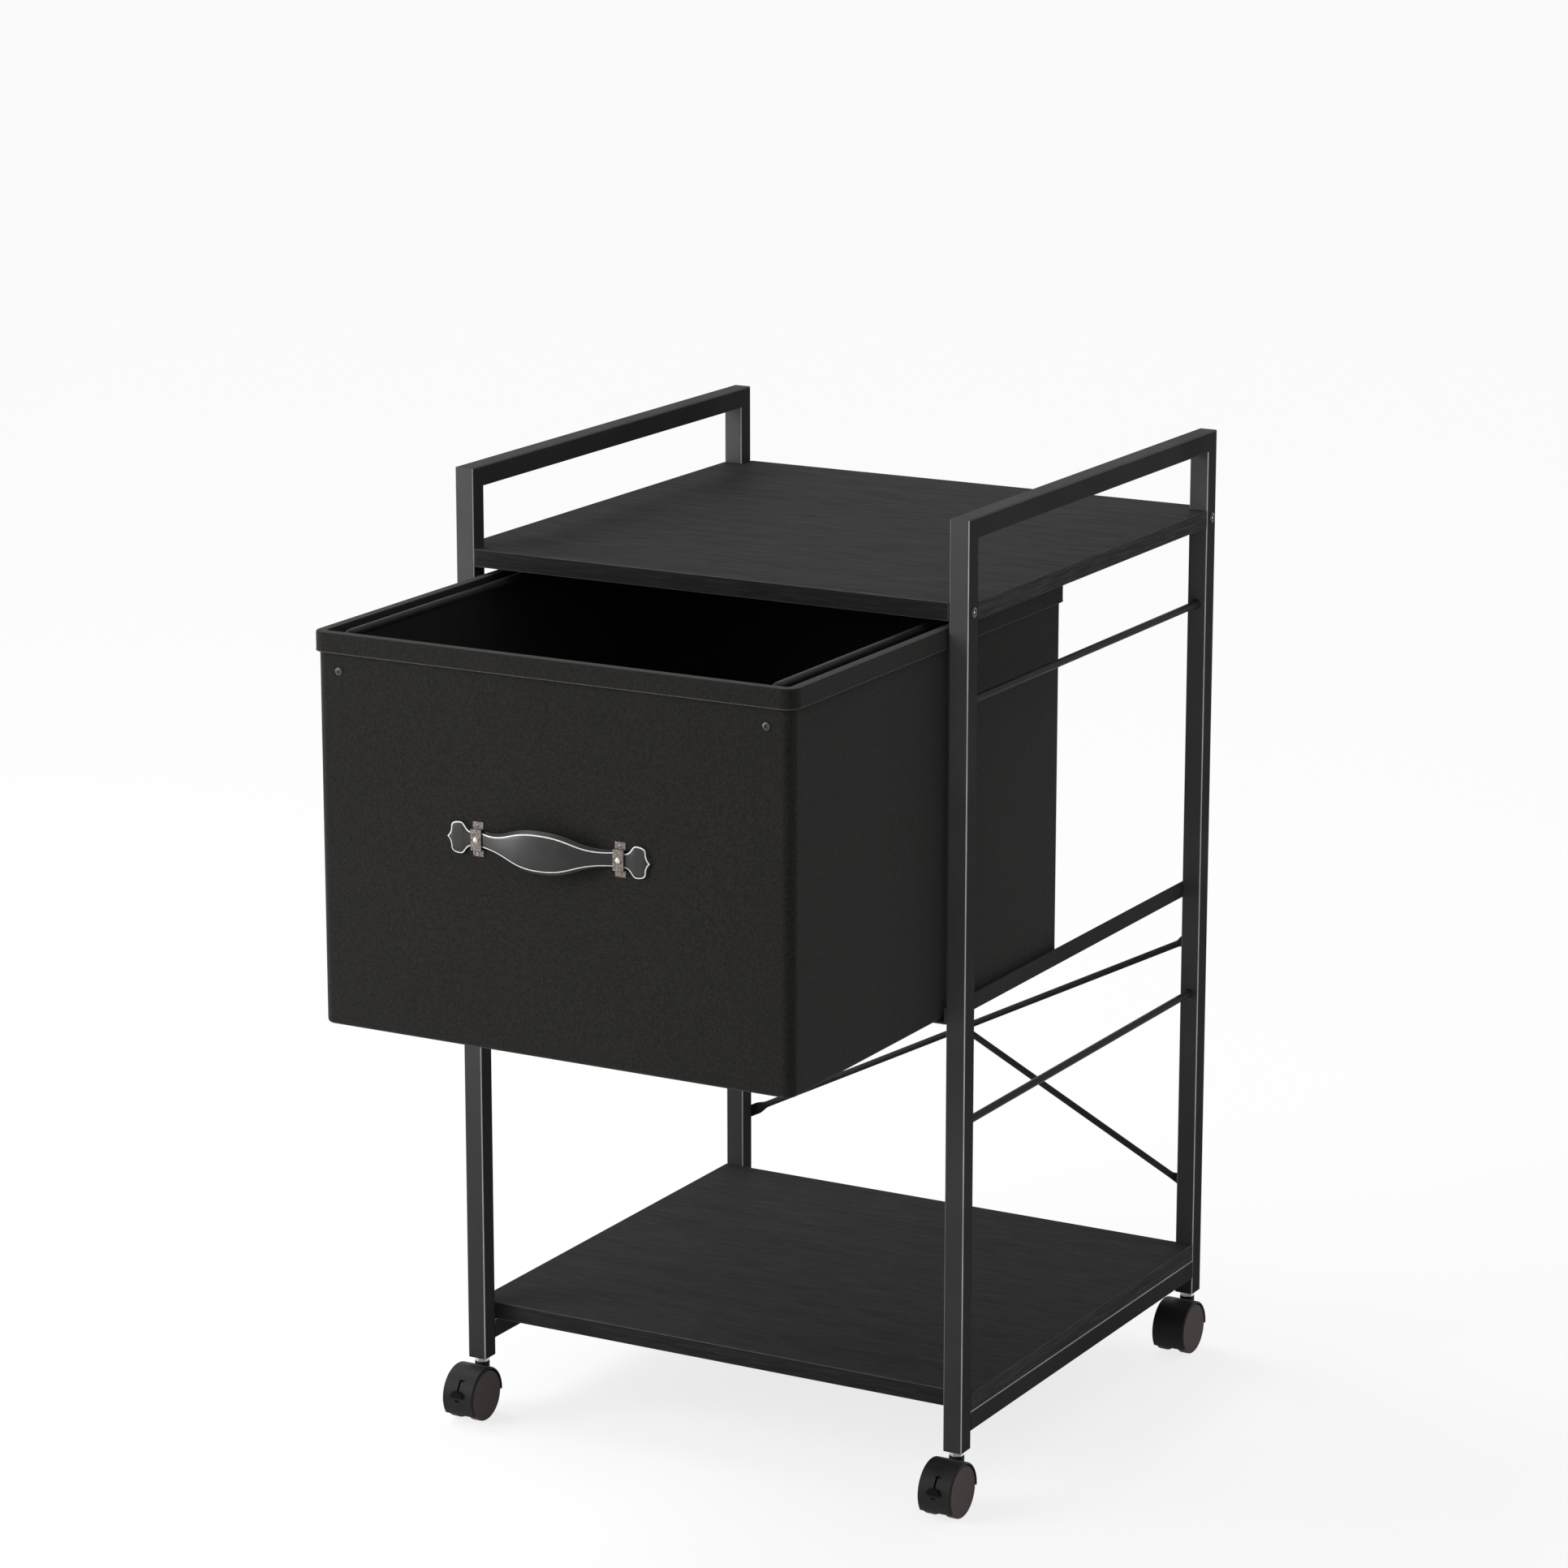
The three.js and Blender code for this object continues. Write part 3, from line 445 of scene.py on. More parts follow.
class Finish:
    """Nodes of one material, added by short calls."""

    def __init__(self, name, **values):
        self.material = bpy.data.materials.new(name)
        self.material.use_nodes = True
        self.nodes = self.material.node_tree.nodes
        self.links = self.material.node_tree.links
        self.shader = self.nodes["Principled BSDF"]
        coordinates = self.nodes.new("ShaderNodeTexCoord").outputs
        self.coords = coordinates["Object"]
        self.normal = coordinates["Normal"]
        for socket, value in values.items():
            self.put(self.shader, socket.replace("_", " "), value)

    def put(self, node, socket, value):
        """Puts a value, or another node's output, on a node's socket."""
        if isinstance(value, bpy.types.NodeSocket):
            self.links.new(value, node.inputs[socket])
        else:
            node.inputs[socket].default_value = value

    def noise(self, scale, stretch=(1, 1, 1), detail=3, roughness=0.55, distortion=0):
        """Noise with about scale spots a metre, squeezed by stretch along each axis."""
        mapping = self.nodes.new("ShaderNodeMapping")
        self.put(mapping, "Vector", self.coords)
        self.put(mapping, "Scale", stretch)
        node = self.nodes.new("ShaderNodeTexNoise")
        self.put(node, "Vector", mapping.outputs["Vector"])
        self.put(node, "Scale", scale)
        self.put(node, "Detail", detail)
        self.put(node, "Roughness", roughness)
        self.put(node, "Distortion", distortion)
        return node.outputs[0]

    def cells(self, scale):
        """Distance to the nearest of about scale cells a metre."""
        node = self.nodes.new("ShaderNodeTexVoronoi")
        self.put(node, "Vector", self.coords)
        self.put(node, "Scale", scale)
        return node.outputs["Distance"]

    def part(self, vector, axis):
        """One of a vector's three numbers."""
        node = self.nodes.new("ShaderNodeSeparateXYZ")
        self.put(node, "Vector", vector)
        return node.outputs[axis]

    def attribute(self, name):
        """A number stored on the mesh."""
        node = self.nodes.new("ShaderNodeAttribute")
        node.attribute_name = name
        return node.outputs["Fac"]

    def math(self, operation, first, second):
        node = self.nodes.new("ShaderNodeMath")
        node.operation = operation
        self.put(node, 0, first)
        self.put(node, 1, second)
        return node.outputs[0]

    def spread(self, value, low, high, start=0.3, end=0.7):
        """A number moved from the range start to end into the range low to high."""
        node = self.nodes.new("ShaderNodeMapRange")
        self.put(node, "Value", value)
        self.put(node, "From Min", start)
        self.put(node, "From Max", end)
        self.put(node, "To Min", low)
        self.put(node, "To Max", high)
        return node.outputs["Result"]

    def blend(self, factor, first, second):
        """Colour between two, by a factor."""
        node = self.nodes.new("ShaderNodeMix")
        node.data_type = "RGBA"
        self.put(node, 0, factor)
        self.put(node, 6, first)
        self.put(node, 7, second)
        return node.outputs[2]

    def colour(self, value):
        self.put(self.shader, "Base Color", value)

    def roughness(self, value):
        self.put(self.shader, "Roughness", value)

    def relief(self, height, distance, strength=1):
        """Bump of a height from 0 to 1, as deep as distance."""
        node = self.nodes.new("ShaderNodeBump")
        self.put(node, "Height", height)
        self.put(node, "Distance", distance)
        self.put(node, "Strength", strength)
        self.put(self.shader, "Normal", node.outputs["Normal"])


def tone(red, green=None, blue=None):
    """Colour with its alpha; one number alone is a grey."""
    return (red, red if green is None else green, red if blue is None else blue, 1)


def powder_coat():
    """Satin black powder coat with painted light: paler towards the top except on faces that face sideways, which
    stay darker as painted shade, and a pale painted highlight along the corners of tubes.
    """
    finish = Finish("powder_coat", Specular_IOR_Level=0)
    patches = finish.noise(14)
    mottle = finish.spread(patches, 0, 1)
    # Lower and upper tones of the painted light that grows towards the top
    lower_tone = finish.blend(mottle, tone(0.034, 0.032, 0.032), tone(0.044, 0.042, 0.042))
    painted_top_light = finish.blend(mottle, tone(0.074, 0.074, 0.076), tone(0.088, 0.088, 0.090))
    # Darker tone of faces that face sideways: painted shade
    side = finish.blend(mottle, tone(0.037, 0.036, 0.037), tone(0.046, 0.045, 0.046))
    height = finish.spread(finish.part(finish.coords, "Z"), 0, 1, PAINTED_LIGHT_FROM, PAINTED_LIGHT_TO)
    sideways = finish.math("ABSOLUTE", finish.part(finish.normal, "X"), 0)
    coat_and_painted_light = finish.blend(sideways, finish.blend(height, lower_tone, painted_top_light), side)
    # Near-white painted highlight along the corners of tubes, broken up by noise
    highlight_breakup = finish.spread(finish.noise(30, detail=4), 0.65, 1)
    narrow = finish.math("POWER", finish.attribute("edge"), 8)
    edge_highlight = finish.math("MULTIPLY", narrow, highlight_breakup)
    finish.colour(finish.blend(edge_highlight, coat_and_painted_light, tone(0.95, 0.95, 0.96)))
    finish.roughness(finish.spread(patches, 0.42, 0.54))
    finish.relief(finish.noise(1500, detail=2), 0.04 * MM, 0.5)
    return finish.material


def rod_enamel():
    """Smooth black enamel of the thin rods."""
    finish = Finish("rod_enamel", Specular_IOR_Level=0.025)
    clouds = finish.noise(40)
    finish.colour(finish.blend(finish.spread(clouds, 0, 1), tone(0.022), tone(0.031)))
    finish.roughness(finish.spread(clouds, 0.32, 0.42))
    return finish.material


def laminate(name, stretch, bare, streak):
    """Black wood-grain laminate, with its grain along the axis that stretch squeezes."""
    finish = Finish(name, Specular_IOR_Level=0.015)
    grain = finish.noise(700, stretch, detail=5, roughness=0.6, distortion=0.3)
    bands = finish.noise(60, stretch, detail=2)
    dark = finish.blend(finish.spread(bands, 0, 1), tone(0.85 * bare), tone(1.15 * bare))
    finish.colour(finish.blend(finish.spread(grain, 0, 1, 0.42, 0.7), dark, tone(streak)))
    finish.roughness(finish.spread(grain, 0.72, 0.6))
    finish.relief(grain, 0.08 * MM, 0.5)
    return finish.material


def fabric(name, dark, pale):
    """Felted charcoal cloth with short fibres in both directions."""
    finish = Finish(name, Specular_IOR_Level=0.02, Sheen_Weight=0.12, Sheen_Roughness=0.5)
    fibres = finish.noise(1000, (1, 1, 0.4), detail=3)
    slubs = finish.noise(1000, (0.4, 0.4, 1), detail=3)
    nap = finish.math("ADD", fibres, slubs)
    mottle = finish.spread(finish.noise(18, detail=4), 0.88, 1.06)
    weave = finish.math("MULTIPLY", finish.spread(nap, 0, 1, 0.78, 1.24), mottle)
    finish.colour(finish.blend(weave, dark, pale))
    finish.roughness(finish.spread(nap, 0.86, 0.98, 0.8, 1.2))
    finish.relief(nap, 0.25 * MM, 0.5)
    return finish.material


def leather():
    """Dark grey leather with a fine pebbled grain."""
    finish = Finish("leather", Specular_IOR_Level=0.4)
    pebbles = finish.cells(1100)
    shade = finish.noise(90, detail=4)
    finish.colour(finish.blend(finish.spread(shade, 0, 1), tone(0.006, 0.0058, 0.0055), tone(0.011, 0.0107, 0.0102)))
    finish.roughness(finish.spread(shade, 0.36, 0.44))
    finish.relief(pebbles, 0.06 * MM, 0.35)
    return finish.material


def edge_paint(name, dark, pale):
    """Dressing of a cut leather edge, used in lit and shaded copies that carry painted light."""
    finish = Finish(name, Specular_IOR_Level=0.3)
    scuffs = finish.noise(400, detail=4)
    finish.colour(finish.blend(finish.spread(scuffs, 0, 1), dark, pale))
    finish.roughness(finish.spread(scuffs, 0.45, 0.6))
    return finish.material


def metal(name, dark, pale, rough, speckle, relief):
    """Metal with speckled tarnish."""
    finish = Finish(name, Metallic=1)
    spots = finish.noise(speckle, detail=4)
    finish.colour(finish.blend(finish.spread(spots, 0, 1, 0.35, 0.65), dark, pale))
    finish.roughness(finish.spread(spots, rough + 0.08, rough - 0.06))
    finish.relief(spots, relief, 0.5)
    return finish.material


def plastic(name, dark, pale, rough, specular):
    """Moulded plastic with a fine spark texture."""
    finish = Finish(name, Specular_IOR_Level=specular)
    clouds = finish.noise(120, detail=3)
    finish.colour(finish.blend(finish.spread(clouds, 0, 1), dark, pale))
    finish.roughness(finish.spread(clouds, rough - 0.04, rough + 0.06))
    finish.relief(finish.noise(2600, detail=2), 0.03 * MM, 0.5)
    return finish.material


POWDER_COAT = powder_coat()
ROD_ENAMEL = rod_enamel()
LAMINATE = laminate("laminate", (0.05, 1, 1), 0.023, 0.036)
# Copies of the laminate: end edges with their grain along them and paler, as painted light; front edges darker, as
# painted shade; arrises pale, as a painted highlight
LAMINATE_ENDS_LIGHTENED = laminate("laminate_ends_lightened", (1, 0.05, 1), 0.034, 0.06)
LAMINATE_FRONT_SHADED = laminate("laminate_front_shaded", (0.05, 1, 1), 0.016, 0.026)
LAMINATE_ARRIS_HIGHLIGHT = laminate("laminate_arris_highlight", (0.1, 0.1, 1), 0.055, 0.085)
FABRIC = fabric("fabric", tone(0.0103, 0.0099, 0.0092), tone(0.0215, 0.0206, 0.0193))
# Paler copy of the cloth for the rim's fold: a painted highlight
FABRIC_FOLD_HIGHLIGHT = fabric("fabric_fold_highlight", tone(0.045, 0.044, 0.042), tone(0.075, 0.073, 0.070))
LEATHER = leather()
# Cream edge dressing, pale enough to be partly a painted highlight on the front bevel, and a darker grey copy for the
# back rim as painted shade
EDGE_CREAM_HIGHLIGHT = edge_paint("edge_cream_highlight", tone(0.66, 0.65, 0.62), tone(0.85, 0.84, 0.81))
EDGE_GREY_SHADED = edge_paint("edge_grey_shaded", tone(0.19, 0.185, 0.175), tone(0.28, 0.27, 0.26))
CLIP_METAL = metal("clip_metal", tone(0.08, 0.067, 0.062), tone(0.25, 0.22, 0.205), 0.55, 700, 0.1 * MM)
PIN_METAL = metal("pin_metal", tone(0.16, 0.14, 0.12), tone(0.36, 0.32, 0.28), 0.5, 500, 0.02 * MM)
STUD_METAL = metal("stud_metal", tone(0.55, 0.50, 0.40), tone(0.75, 0.70, 0.58), 0.3, 500, 0.02 * MM)
ZINC = metal("zinc", tone(0.70, 0.70, 0.69), tone(0.85, 0.85, 0.84), 0.5, 300, 0.02 * MM)
BLACK_STEEL = metal("black_steel", tone(0.03, 0.03, 0.031), tone(0.09, 0.09, 0.09), 0.36, 500, 0.02 * MM)
HOOD_PLASTIC = plastic("hood_plastic", tone(0.013), tone(0.018), 0.5, 0.1)
WHEEL_PLASTIC = plastic("wheel_plastic", tone(0.057, 0.044, 0.041), tone(0.071, 0.056, 0.051), 0.55, 0.1)
LEVER_PLASTIC = plastic("lever_plastic", tone(0.006), tone(0.009), 0.6, 0.03)
PLUG_PLASTIC = plastic("plug_plastic", tone(0.010), tone(0.016), 0.6, 0.2)


# Frame

def mark_edges(obj, middle, half, across, highlight_side):
    """Stores a painted highlight on each point of a tube by how near it is to a corner, strongest on the outer side
    and most on the right.
    """
    attribute = obj.data.attributes.new("edge", "FLOAT", "POINT")
    flat = half - TUBE_CORNER
    for vertex in obj.data.vertices:
        offset = vertex.co - middle
        shares = [max(0, (abs(offset[i]) - flat) / TUBE_CORNER) for i in (0, across)]
        outside = offset[across] * highlight_side > 0
        highlight = (HIGHLIGHT_FULL if offset.x > 0 else HIGHLIGHT_PART) if outside else HIGHLIGHT_LOW
        attribute.data[vertex.index].value = 2 * highlight * shares[0] * shares[1]


def tube_ring(middle, size, corner, along, across, place, slope=0):
    """Ring of a tube at a place along its axis, sloped where the end is mitred."""
    ring = []
    for a, b in rounded_rectangle(size, size, corner):
        trim = abs(slope) * size - abs(slope) * b if slope > 0 else abs(slope) * size + abs(slope) * b
        point = middle.copy()
        point.x += a
        point[across] += b
        point[along] = place + (trim if place < middle[along] else -trim)
        ring.append(point)
    return ring


def build_post(end, side):
    """Post with an open foot and a mitred top."""
    node = f"{end}_{side}_post"
    low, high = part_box(node)
    middle = (low + high) / 2
    half = (high.x - low.x) / 2
    bore = half - TUBE_WALL
    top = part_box(f"{side}_top_rail")[1].z
    rings = [
        tube_ring(middle, bore, BORE_CORNER, 2, 1, low.z + FOOT_DEPTH),
        tube_ring(middle, bore, BORE_CORNER, 2, 1, low.z),
        tube_ring(middle, half - FOOT_EDGE, TUBE_CORNER - FOOT_EDGE, 2, 1, low.z),
        tube_ring(middle, half, TUBE_CORNER, 2, 1, low.z + FOOT_EDGE),
        tube_ring(middle, half, TUBE_CORNER, 2, 1, top, ENDS[end]),
    ]
    post = piece(f"{node}_tube", loft(rings), POWDER_COAT, "frame", [node])
    # Painted highlight along the corners, strongest on the front
    mark_edges(post, middle, half, 1, -1)


def build_rail(node, slope):
    """Rail along the side of the frame, with its ends square (0) or mitred (1)."""
    low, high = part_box(node)
    middle = (low + high) / 2
    half = (high.x - low.x) / 2
    rings = [tube_ring(middle, half, TUBE_CORNER, 1, 2, y, slope) for y in (low.y, high.y)]
    rail = piece(f"{node}_tube", loft(rings), POWDER_COAT, "frame", [node])
    # Painted highlight along the corners, strongest on the upper side of bottom rails
    mark_edges(rail, middle, half, 2, 1 - slope)


def build_side_rod(node):
    """Thin rod between two posts, with a small weld at each end."""
    low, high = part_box(node)
    middle = (low + high) / 2
    radius = (high.z - low.z) / 2
    fillet = [(WELD_REACH * i / WELD_STEPS, WELD_LEG * (1 - i / WELD_STEPS) ** 2) for i in range(WELD_STEPS + 1)]
    stations = [(low.y + reach, radius + leg) for reach, leg in fillet]
    stations += [(high.y - reach, radius + leg) for reach, leg in reversed(fillet)]
    points = [Vector((middle.x, y, middle.z)) for y, _ in stations]
    radii = [r for _, r in stations]
    piece(f"{node}_wire", wire(points, radii, X), ROD_ENAMEL, "frame", [node])


def build_angle(side):
    """Steel angle that carries one side of the drawer."""
    node = f"{side}_drawer_angle"
    low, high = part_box(node)
    post, shelf = (low.x, high.x) if SIDES[side] < 0 else (high.x, low.x)
    leg = post - SIDES[side] * ANGLE_GAUGE
    top = low.z + ANGLE_GAUGE
    section = [(post, low.z), (post, high.z), (leg, high.z), (leg, top), (shelf, top), (shelf, low.z)]
    skin = prism(section, low.y * Y, X, Z, (high.y - low.y) * Y)
    piece(f"{node}_steel", skin, POWDER_COAT, "frame", [node], ANGLE_EDGE)


def build_brace(name, lean):
    """Brace rod whose crushed ends lie on the rear posts; lean is 1 if it rises to the right."""
    node = f"{name}_brace_rod"
    middle = centre(node)
    post_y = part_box("rear_left_post")[1].y
    middle.y = post_y + NOTCH_GAP + TAB_HALF_GAUGE
    span = 2 * centre("rear_right_post").x
    along = Vector((span, 0, lean * BRACE_RISE)).normalized()
    across = along.cross(Y)
    reach = hypot(span, BRACE_RISE) / 2
    stations = []
    tip = reach + BRACE_OVERRUN
    bend = TAB_HALF_WIDTH - TAB_HALF_GAUGE
    for i in range(TAB_END_STEPS + 1):
        turn = pi / 2 * i / TAB_END_STEPS
        stations.append((tip - bend * (1 - sin(turn)), TAB_HALF_GAUGE + bend * cos(turn), TAB_HALF_GAUGE, 0))
    stations.reverse()
    tab = reach - TAB_START
    for i in range(JOGGLE_STEPS + 1):
        share = i / JOGGLE_STEPS
        ease = share * share * (3 - 2 * share)
        width = TAB_HALF_WIDTH + (BRACE_RADIUS - TAB_HALF_WIDTH) * ease
        gauge = TAB_HALF_GAUGE + (BRACE_RADIUS - TAB_HALF_GAUGE) * ease
        stations.append((tab - JOGGLE * share, width, gauge, lean * BRACE_OFFSET * ease))
    rings = []
    for end in (1, -1):
        ordered = stations if end > 0 else reversed(stations)
        for s, width, gauge, offset in ordered:
            origin = middle + end * s * along + offset * Y
            section = rounded_rectangle(width, gauge, 0.98 * min(width, gauge))
            rings.append([origin + a * across + b * Y for a, b in section])
    piece(f"{name}_brace_wire", loft(rings), ROD_ENAMEL, "frame", [node])
    for side, sign in SIDES.items():
        seat = middle + sign * reach * along + TAB_HALF_GAUGE * Y
        build_screw(f"{name}_brace_{side}_screw", seat, Y)


def build_screw(name, seat, axis):
    """Pan-head screw with a cross recess."""
    profile = [(0, 0), *dome(SCREW_RADIUS, SCREW_RIM, SCREW_HEIGHT)]
    screw = new_object(name, lathe(profile, seat, axis))
    side = axis.orthogonal().normalized()
    for arm, thin in ((side, axis.cross(side)), (axis.cross(side), side)):
        outline = [(-CROSS_LENGTH, -CROSS_HALF), (CROSS_LENGTH, -CROSS_HALF)]
        outline += [(CROSS_LENGTH, CROSS_HALF), (-CROSS_LENGTH, CROSS_HALF)]
        floor = seat + (SCREW_HEIGHT - CROSS_DEPTH) * axis
        combine(screw, "DIFFERENCE", prism(outline, floor, arm, thin, SCREW_HEIGHT * axis))
    dress(screw, BLACK_STEEL, "frame")


def build_bolt(end, side):
    """Button-head bolt through a post into the edge of the top shelf, with a bright pin in its socket that is a
    painted glint.
    """
    node = f"{end}_{side}_shelf_bolt"
    axis = SIDES[side] * X
    low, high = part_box(f"{end}_{side}_post")
    seat = centre(node)
    seat.x = high.x if SIDES[side] > 0 else low.x
    grip = high.x - low.x + BOLT_GRIP
    head = [(r, BOLT_SEAT + h) for r, h in dome(BOLT_RADIUS, BOLT_RIM, BOLT_HEIGHT - BOLT_SEAT)]
    profile = [(0, -grip), (BOLT_SHANK, -grip), (BOLT_SHANK, BOLT_SEAT), *head]
    bolt = new_object(f"{node}_head", lathe(profile, seat, axis))
    floor = seat + (BOLT_HEIGHT - BOLT_SOCKET_DEPTH) * axis
    combine(bolt, "DIFFERENCE", prism(circle(BOLT_SOCKET, 6), floor, Y, Z, BOLT_HEIGHT * axis))
    dress(bolt, BLACK_STEEL, "frame", [node])
    # Bright zinc pin in the socket: a painted glint
    glint = [(0, 0), *dome(BOLT_GLINT, 0, BOLT_GLINT_HEIGHT)]
    piece(f"{node}_dot", lathe(glint, floor, axis), ZINC, "frame")


# Shelves

def build_shelf(node, outline):
    """Board cut to an outline, with the grain of its end edges along them, its end edges paler as painted light, its
    front edges darker as painted shade, and paler arrises as a painted highlight.
    """
    low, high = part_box(node)
    skin = prism(outline, low.z * Z, X, Y, (high.z - low.z) * Z)
    board = dress(new_object(f"{node}_board", skin), LAMINATE, "frame", [node])
    for material in (LAMINATE_ENDS_LIGHTENED, LAMINATE_FRONT_SHADED, LAMINATE_ARRIS_HIGHLIGHT):
        board.data.materials.append(material)
    # Material by facing: painted light on the end edges, painted shade on the front edges; the bevel takes the
    # painted highlight
    for face in board.data.polygons:
        face.material_index = round(abs(face.normal.x)) + 2 * round(abs(face.normal.y))
    board.modifiers.clear()
    round_edges(board, BOARD_EDGE, 3)


def build_shelves():
    """Top shelf, notched round the posts, and bottom shelf between them."""
    low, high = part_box("top_shelf")
    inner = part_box("front_right_post")[0].x - NOTCH_GAP
    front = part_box("front_right_post")[1].y + NOTCH_GAP
    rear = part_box("rear_right_post")[0].y - NOTCH_GAP
    right = [(inner, low.y), (inner, front), (high.x, front), (high.x, rear), (inner, rear), (inner, high.y)]
    build_shelf("top_shelf", [*right, *[(-x, y) for x, y in reversed(right)]])
    low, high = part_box("bottom_shelf")
    build_shelf("bottom_shelf", [(low.x, low.y), (high.x, low.y), (high.x, high.y), (low.x, high.y)])


# Drawer

DRAWER_LOW = Vector((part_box("drawer_left_panel")[0].x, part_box("drawer_front_panel")[0].y, 0))
DRAWER_HIGH = Vector((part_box("drawer_right_panel")[1].x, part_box("drawer_rear_panel")[1].y, 0))
DRAWER_MIDDLE = (DRAWER_LOW + DRAWER_HIGH) / 2
DRAWER_HALF = (DRAWER_HIGH - DRAWER_LOW) / 2
DRAWER_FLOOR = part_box("drawer_front_panel")[0].z
DRAWER_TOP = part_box("drawer_front_panel")[1].z


def with_side_steps(outline):
    """Rounded rectangle with its four straight sides cut into steps."""
    corner = len(outline) // 4
    points = []
    for i, point in enumerate(outline):
        points.append(point)
        if (i + 1) % corner == 0:
            following = Vector(outline[(i + 1) % len(outline)])
            points += [tuple(Vector(point).lerp(following, k / SIDE_STEPS)) for k in range(1, SIDE_STEPS)]
    return points


def wall_ring(inset, z, crown=0):
    """Ring round the drawer's walls, pushed out by crown in the middle of each side."""
    half = [DRAWER_HALF.x - inset, DRAWER_HALF.y - inset]
    radius = max(DRAWER_CORNER - inset, BOTTOM_SKIN)
    ring = []
    for point in with_side_steps(rounded_rectangle(*half, radius)):
        point = list(point)
        for i in (0, 1):
            straight = half[i] - radius
            beside = abs(point[1 - i]) > half[1 - i] - 0.001 * MM
            if beside and abs(point[i]) < straight:
                push = crown * (1 - (point[i] / straight) ** 2)
                point[1 - i] += push if point[1 - i] > 0 else -push
        ring.append(Vector((DRAWER_MIDDLE.x + point[0], DRAWER_MIDDLE.y + point[1], z)))
    return ring


def round_over(radius, inset, z, inward):
    """Insets and heights that turn from a wall to its top edge, or back down its inner face."""
    turns = [pi / 2 * i / EDGE_STEPS for i in range(EDGE_STEPS + 1)]
    if inward:
        return [(inset - radius * cos(a), z - radius * (1 - sin(a))) for a in reversed(turns)]
    return [(inset + radius * (1 - cos(a)), z - radius * (1 - sin(a))) for a in turns]


def build_drawer_cover():
    """Fabric over the four walls, inside and out, and under the base."""
    turns = [pi / 2 * i / EDGE_STEPS for i in range(EDGE_STEPS + 1)]
    rings = [wall_ring(BOTTOM_LAP, DRAWER_FLOOR)]
    for a in turns:
        rings.append(wall_ring(BOTTOM_EDGE * (1 - sin(a)), DRAWER_FLOOR + BOTTOM_EDGE * (1 - cos(a))))
    foot = DRAWER_FLOOR + BOTTOM_EDGE
    head = DRAWER_TOP - TOP_EDGE
    for i in range(1, HEIGHT_STEPS):
        share = i / HEIGHT_STEPS
        rings.append(wall_ring(0, foot + (head - foot) * share, FABRIC_CROWN * sin(pi * share)))
    for inset, z in round_over(TOP_EDGE, 0, DRAWER_TOP, False) + round_over(TOP_EDGE, WALL, DRAWER_TOP, True):
        rings.append(wall_ring(inset, z))
    inside = DRAWER_FLOOR + BOTTOM_SKIN
    for i in range(1, HEIGHT_STEPS + 1):
        share = i / HEIGHT_STEPS
        rings.append(wall_ring(WALL, head + (inside - head) * share, 0))
    rings.append(wall_ring(BOTTOM_LAP, inside))
    walls = [f"drawer_{wall}_panel" for wall in ("front", "rear", "left", "right")]
    piece("drawer_cover", loft(rings), FABRIC, "drawer", walls)


def build_drawer_base():
    """Covered board that lies in the bottom of the drawer."""
    low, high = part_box("drawer_base_panel")
    half = [(high.x - low.x) / 2 - BASE_GAP, (high.y - low.y) / 2 - BASE_GAP]
    outline = rounded_rectangle(*half, DRAWER_CORNER - WALL)
    origin = Vector((DRAWER_MIDDLE.x, DRAWER_MIDDLE.y, low.z + BOTTOM_SKIN))
    skin = prism(outline, origin, X, Y, (high.z - origin.z) * Z)
    piece("drawer_base_board", skin, FABRIC, "drawer", ["drawer_base_panel"], BASE_EDGE)


def rim_stations(z):
    """Stations round the outer face of the drawer's walls, at a height."""
    stations = []
    straight = [DRAWER_HALF.x - DRAWER_CORNER, DRAWER_HALF.y - DRAWER_CORNER]
    for i, (right, rear) in enumerate(((1, -1), (1, 1), (-1, 1), (-1, -1))):
        for a, b in arc((0, 0), 1, 90 * i - 90, 90 * i, 2 * CORNER_STEPS):
            out = Vector((a, b, 0))
            corner = DRAWER_MIDDLE + Vector((right * straight[0], rear * straight[1], z))
            stations.append((corner + DRAWER_CORNER * out, out, Z))
    return stations


def build_drawer_rim():
    """Band over the top of the walls, with a thin fold along its lower edge in a paler cloth that is a painted
    highlight.
    """
    low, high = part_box("drawer_rim")
    proud = high.x - DRAWER_HIGH.x
    height = high.z - low.z
    lining = -WALL - RIM_LINING
    section = [
        (RIM_LINING, -height),
        *arc((proud - RIM_HEM, RIM_HEM - height), RIM_HEM, -90, 0),
        *arc((proud - RIM_EDGE, RIM_TOP - RIM_EDGE), RIM_EDGE, 0, 90),
        *arc((lining + RIM_INNER_EDGE, RIM_TOP - RIM_INNER_EDGE), RIM_INNER_EDGE, 90, 180),
        (lining, -RIM_FLANGE),
        (-WALL, -RIM_FLANGE),
        (-WALL, 0),
        (RIM_LINING, 0),
    ]
    skin = sweep(section, rim_stations(DRAWER_TOP), closed=True)
    piece("drawer_rim_band", skin, FABRIC, "drawer", ["drawer_rim"])
    # Thin fold in the paler cloth, a painted highlight
    fold = [(proud - PIPING_RADIUS / 2 + a, b) for a, b in circle(PIPING_RADIUS, 10)]
    skin = sweep(fold, rim_stations(low.z + PIPING_RADIUS), closed=True)
    piece("drawer_rim_fold", skin, FABRIC_FOLD_HIGHLIGHT, "drawer")


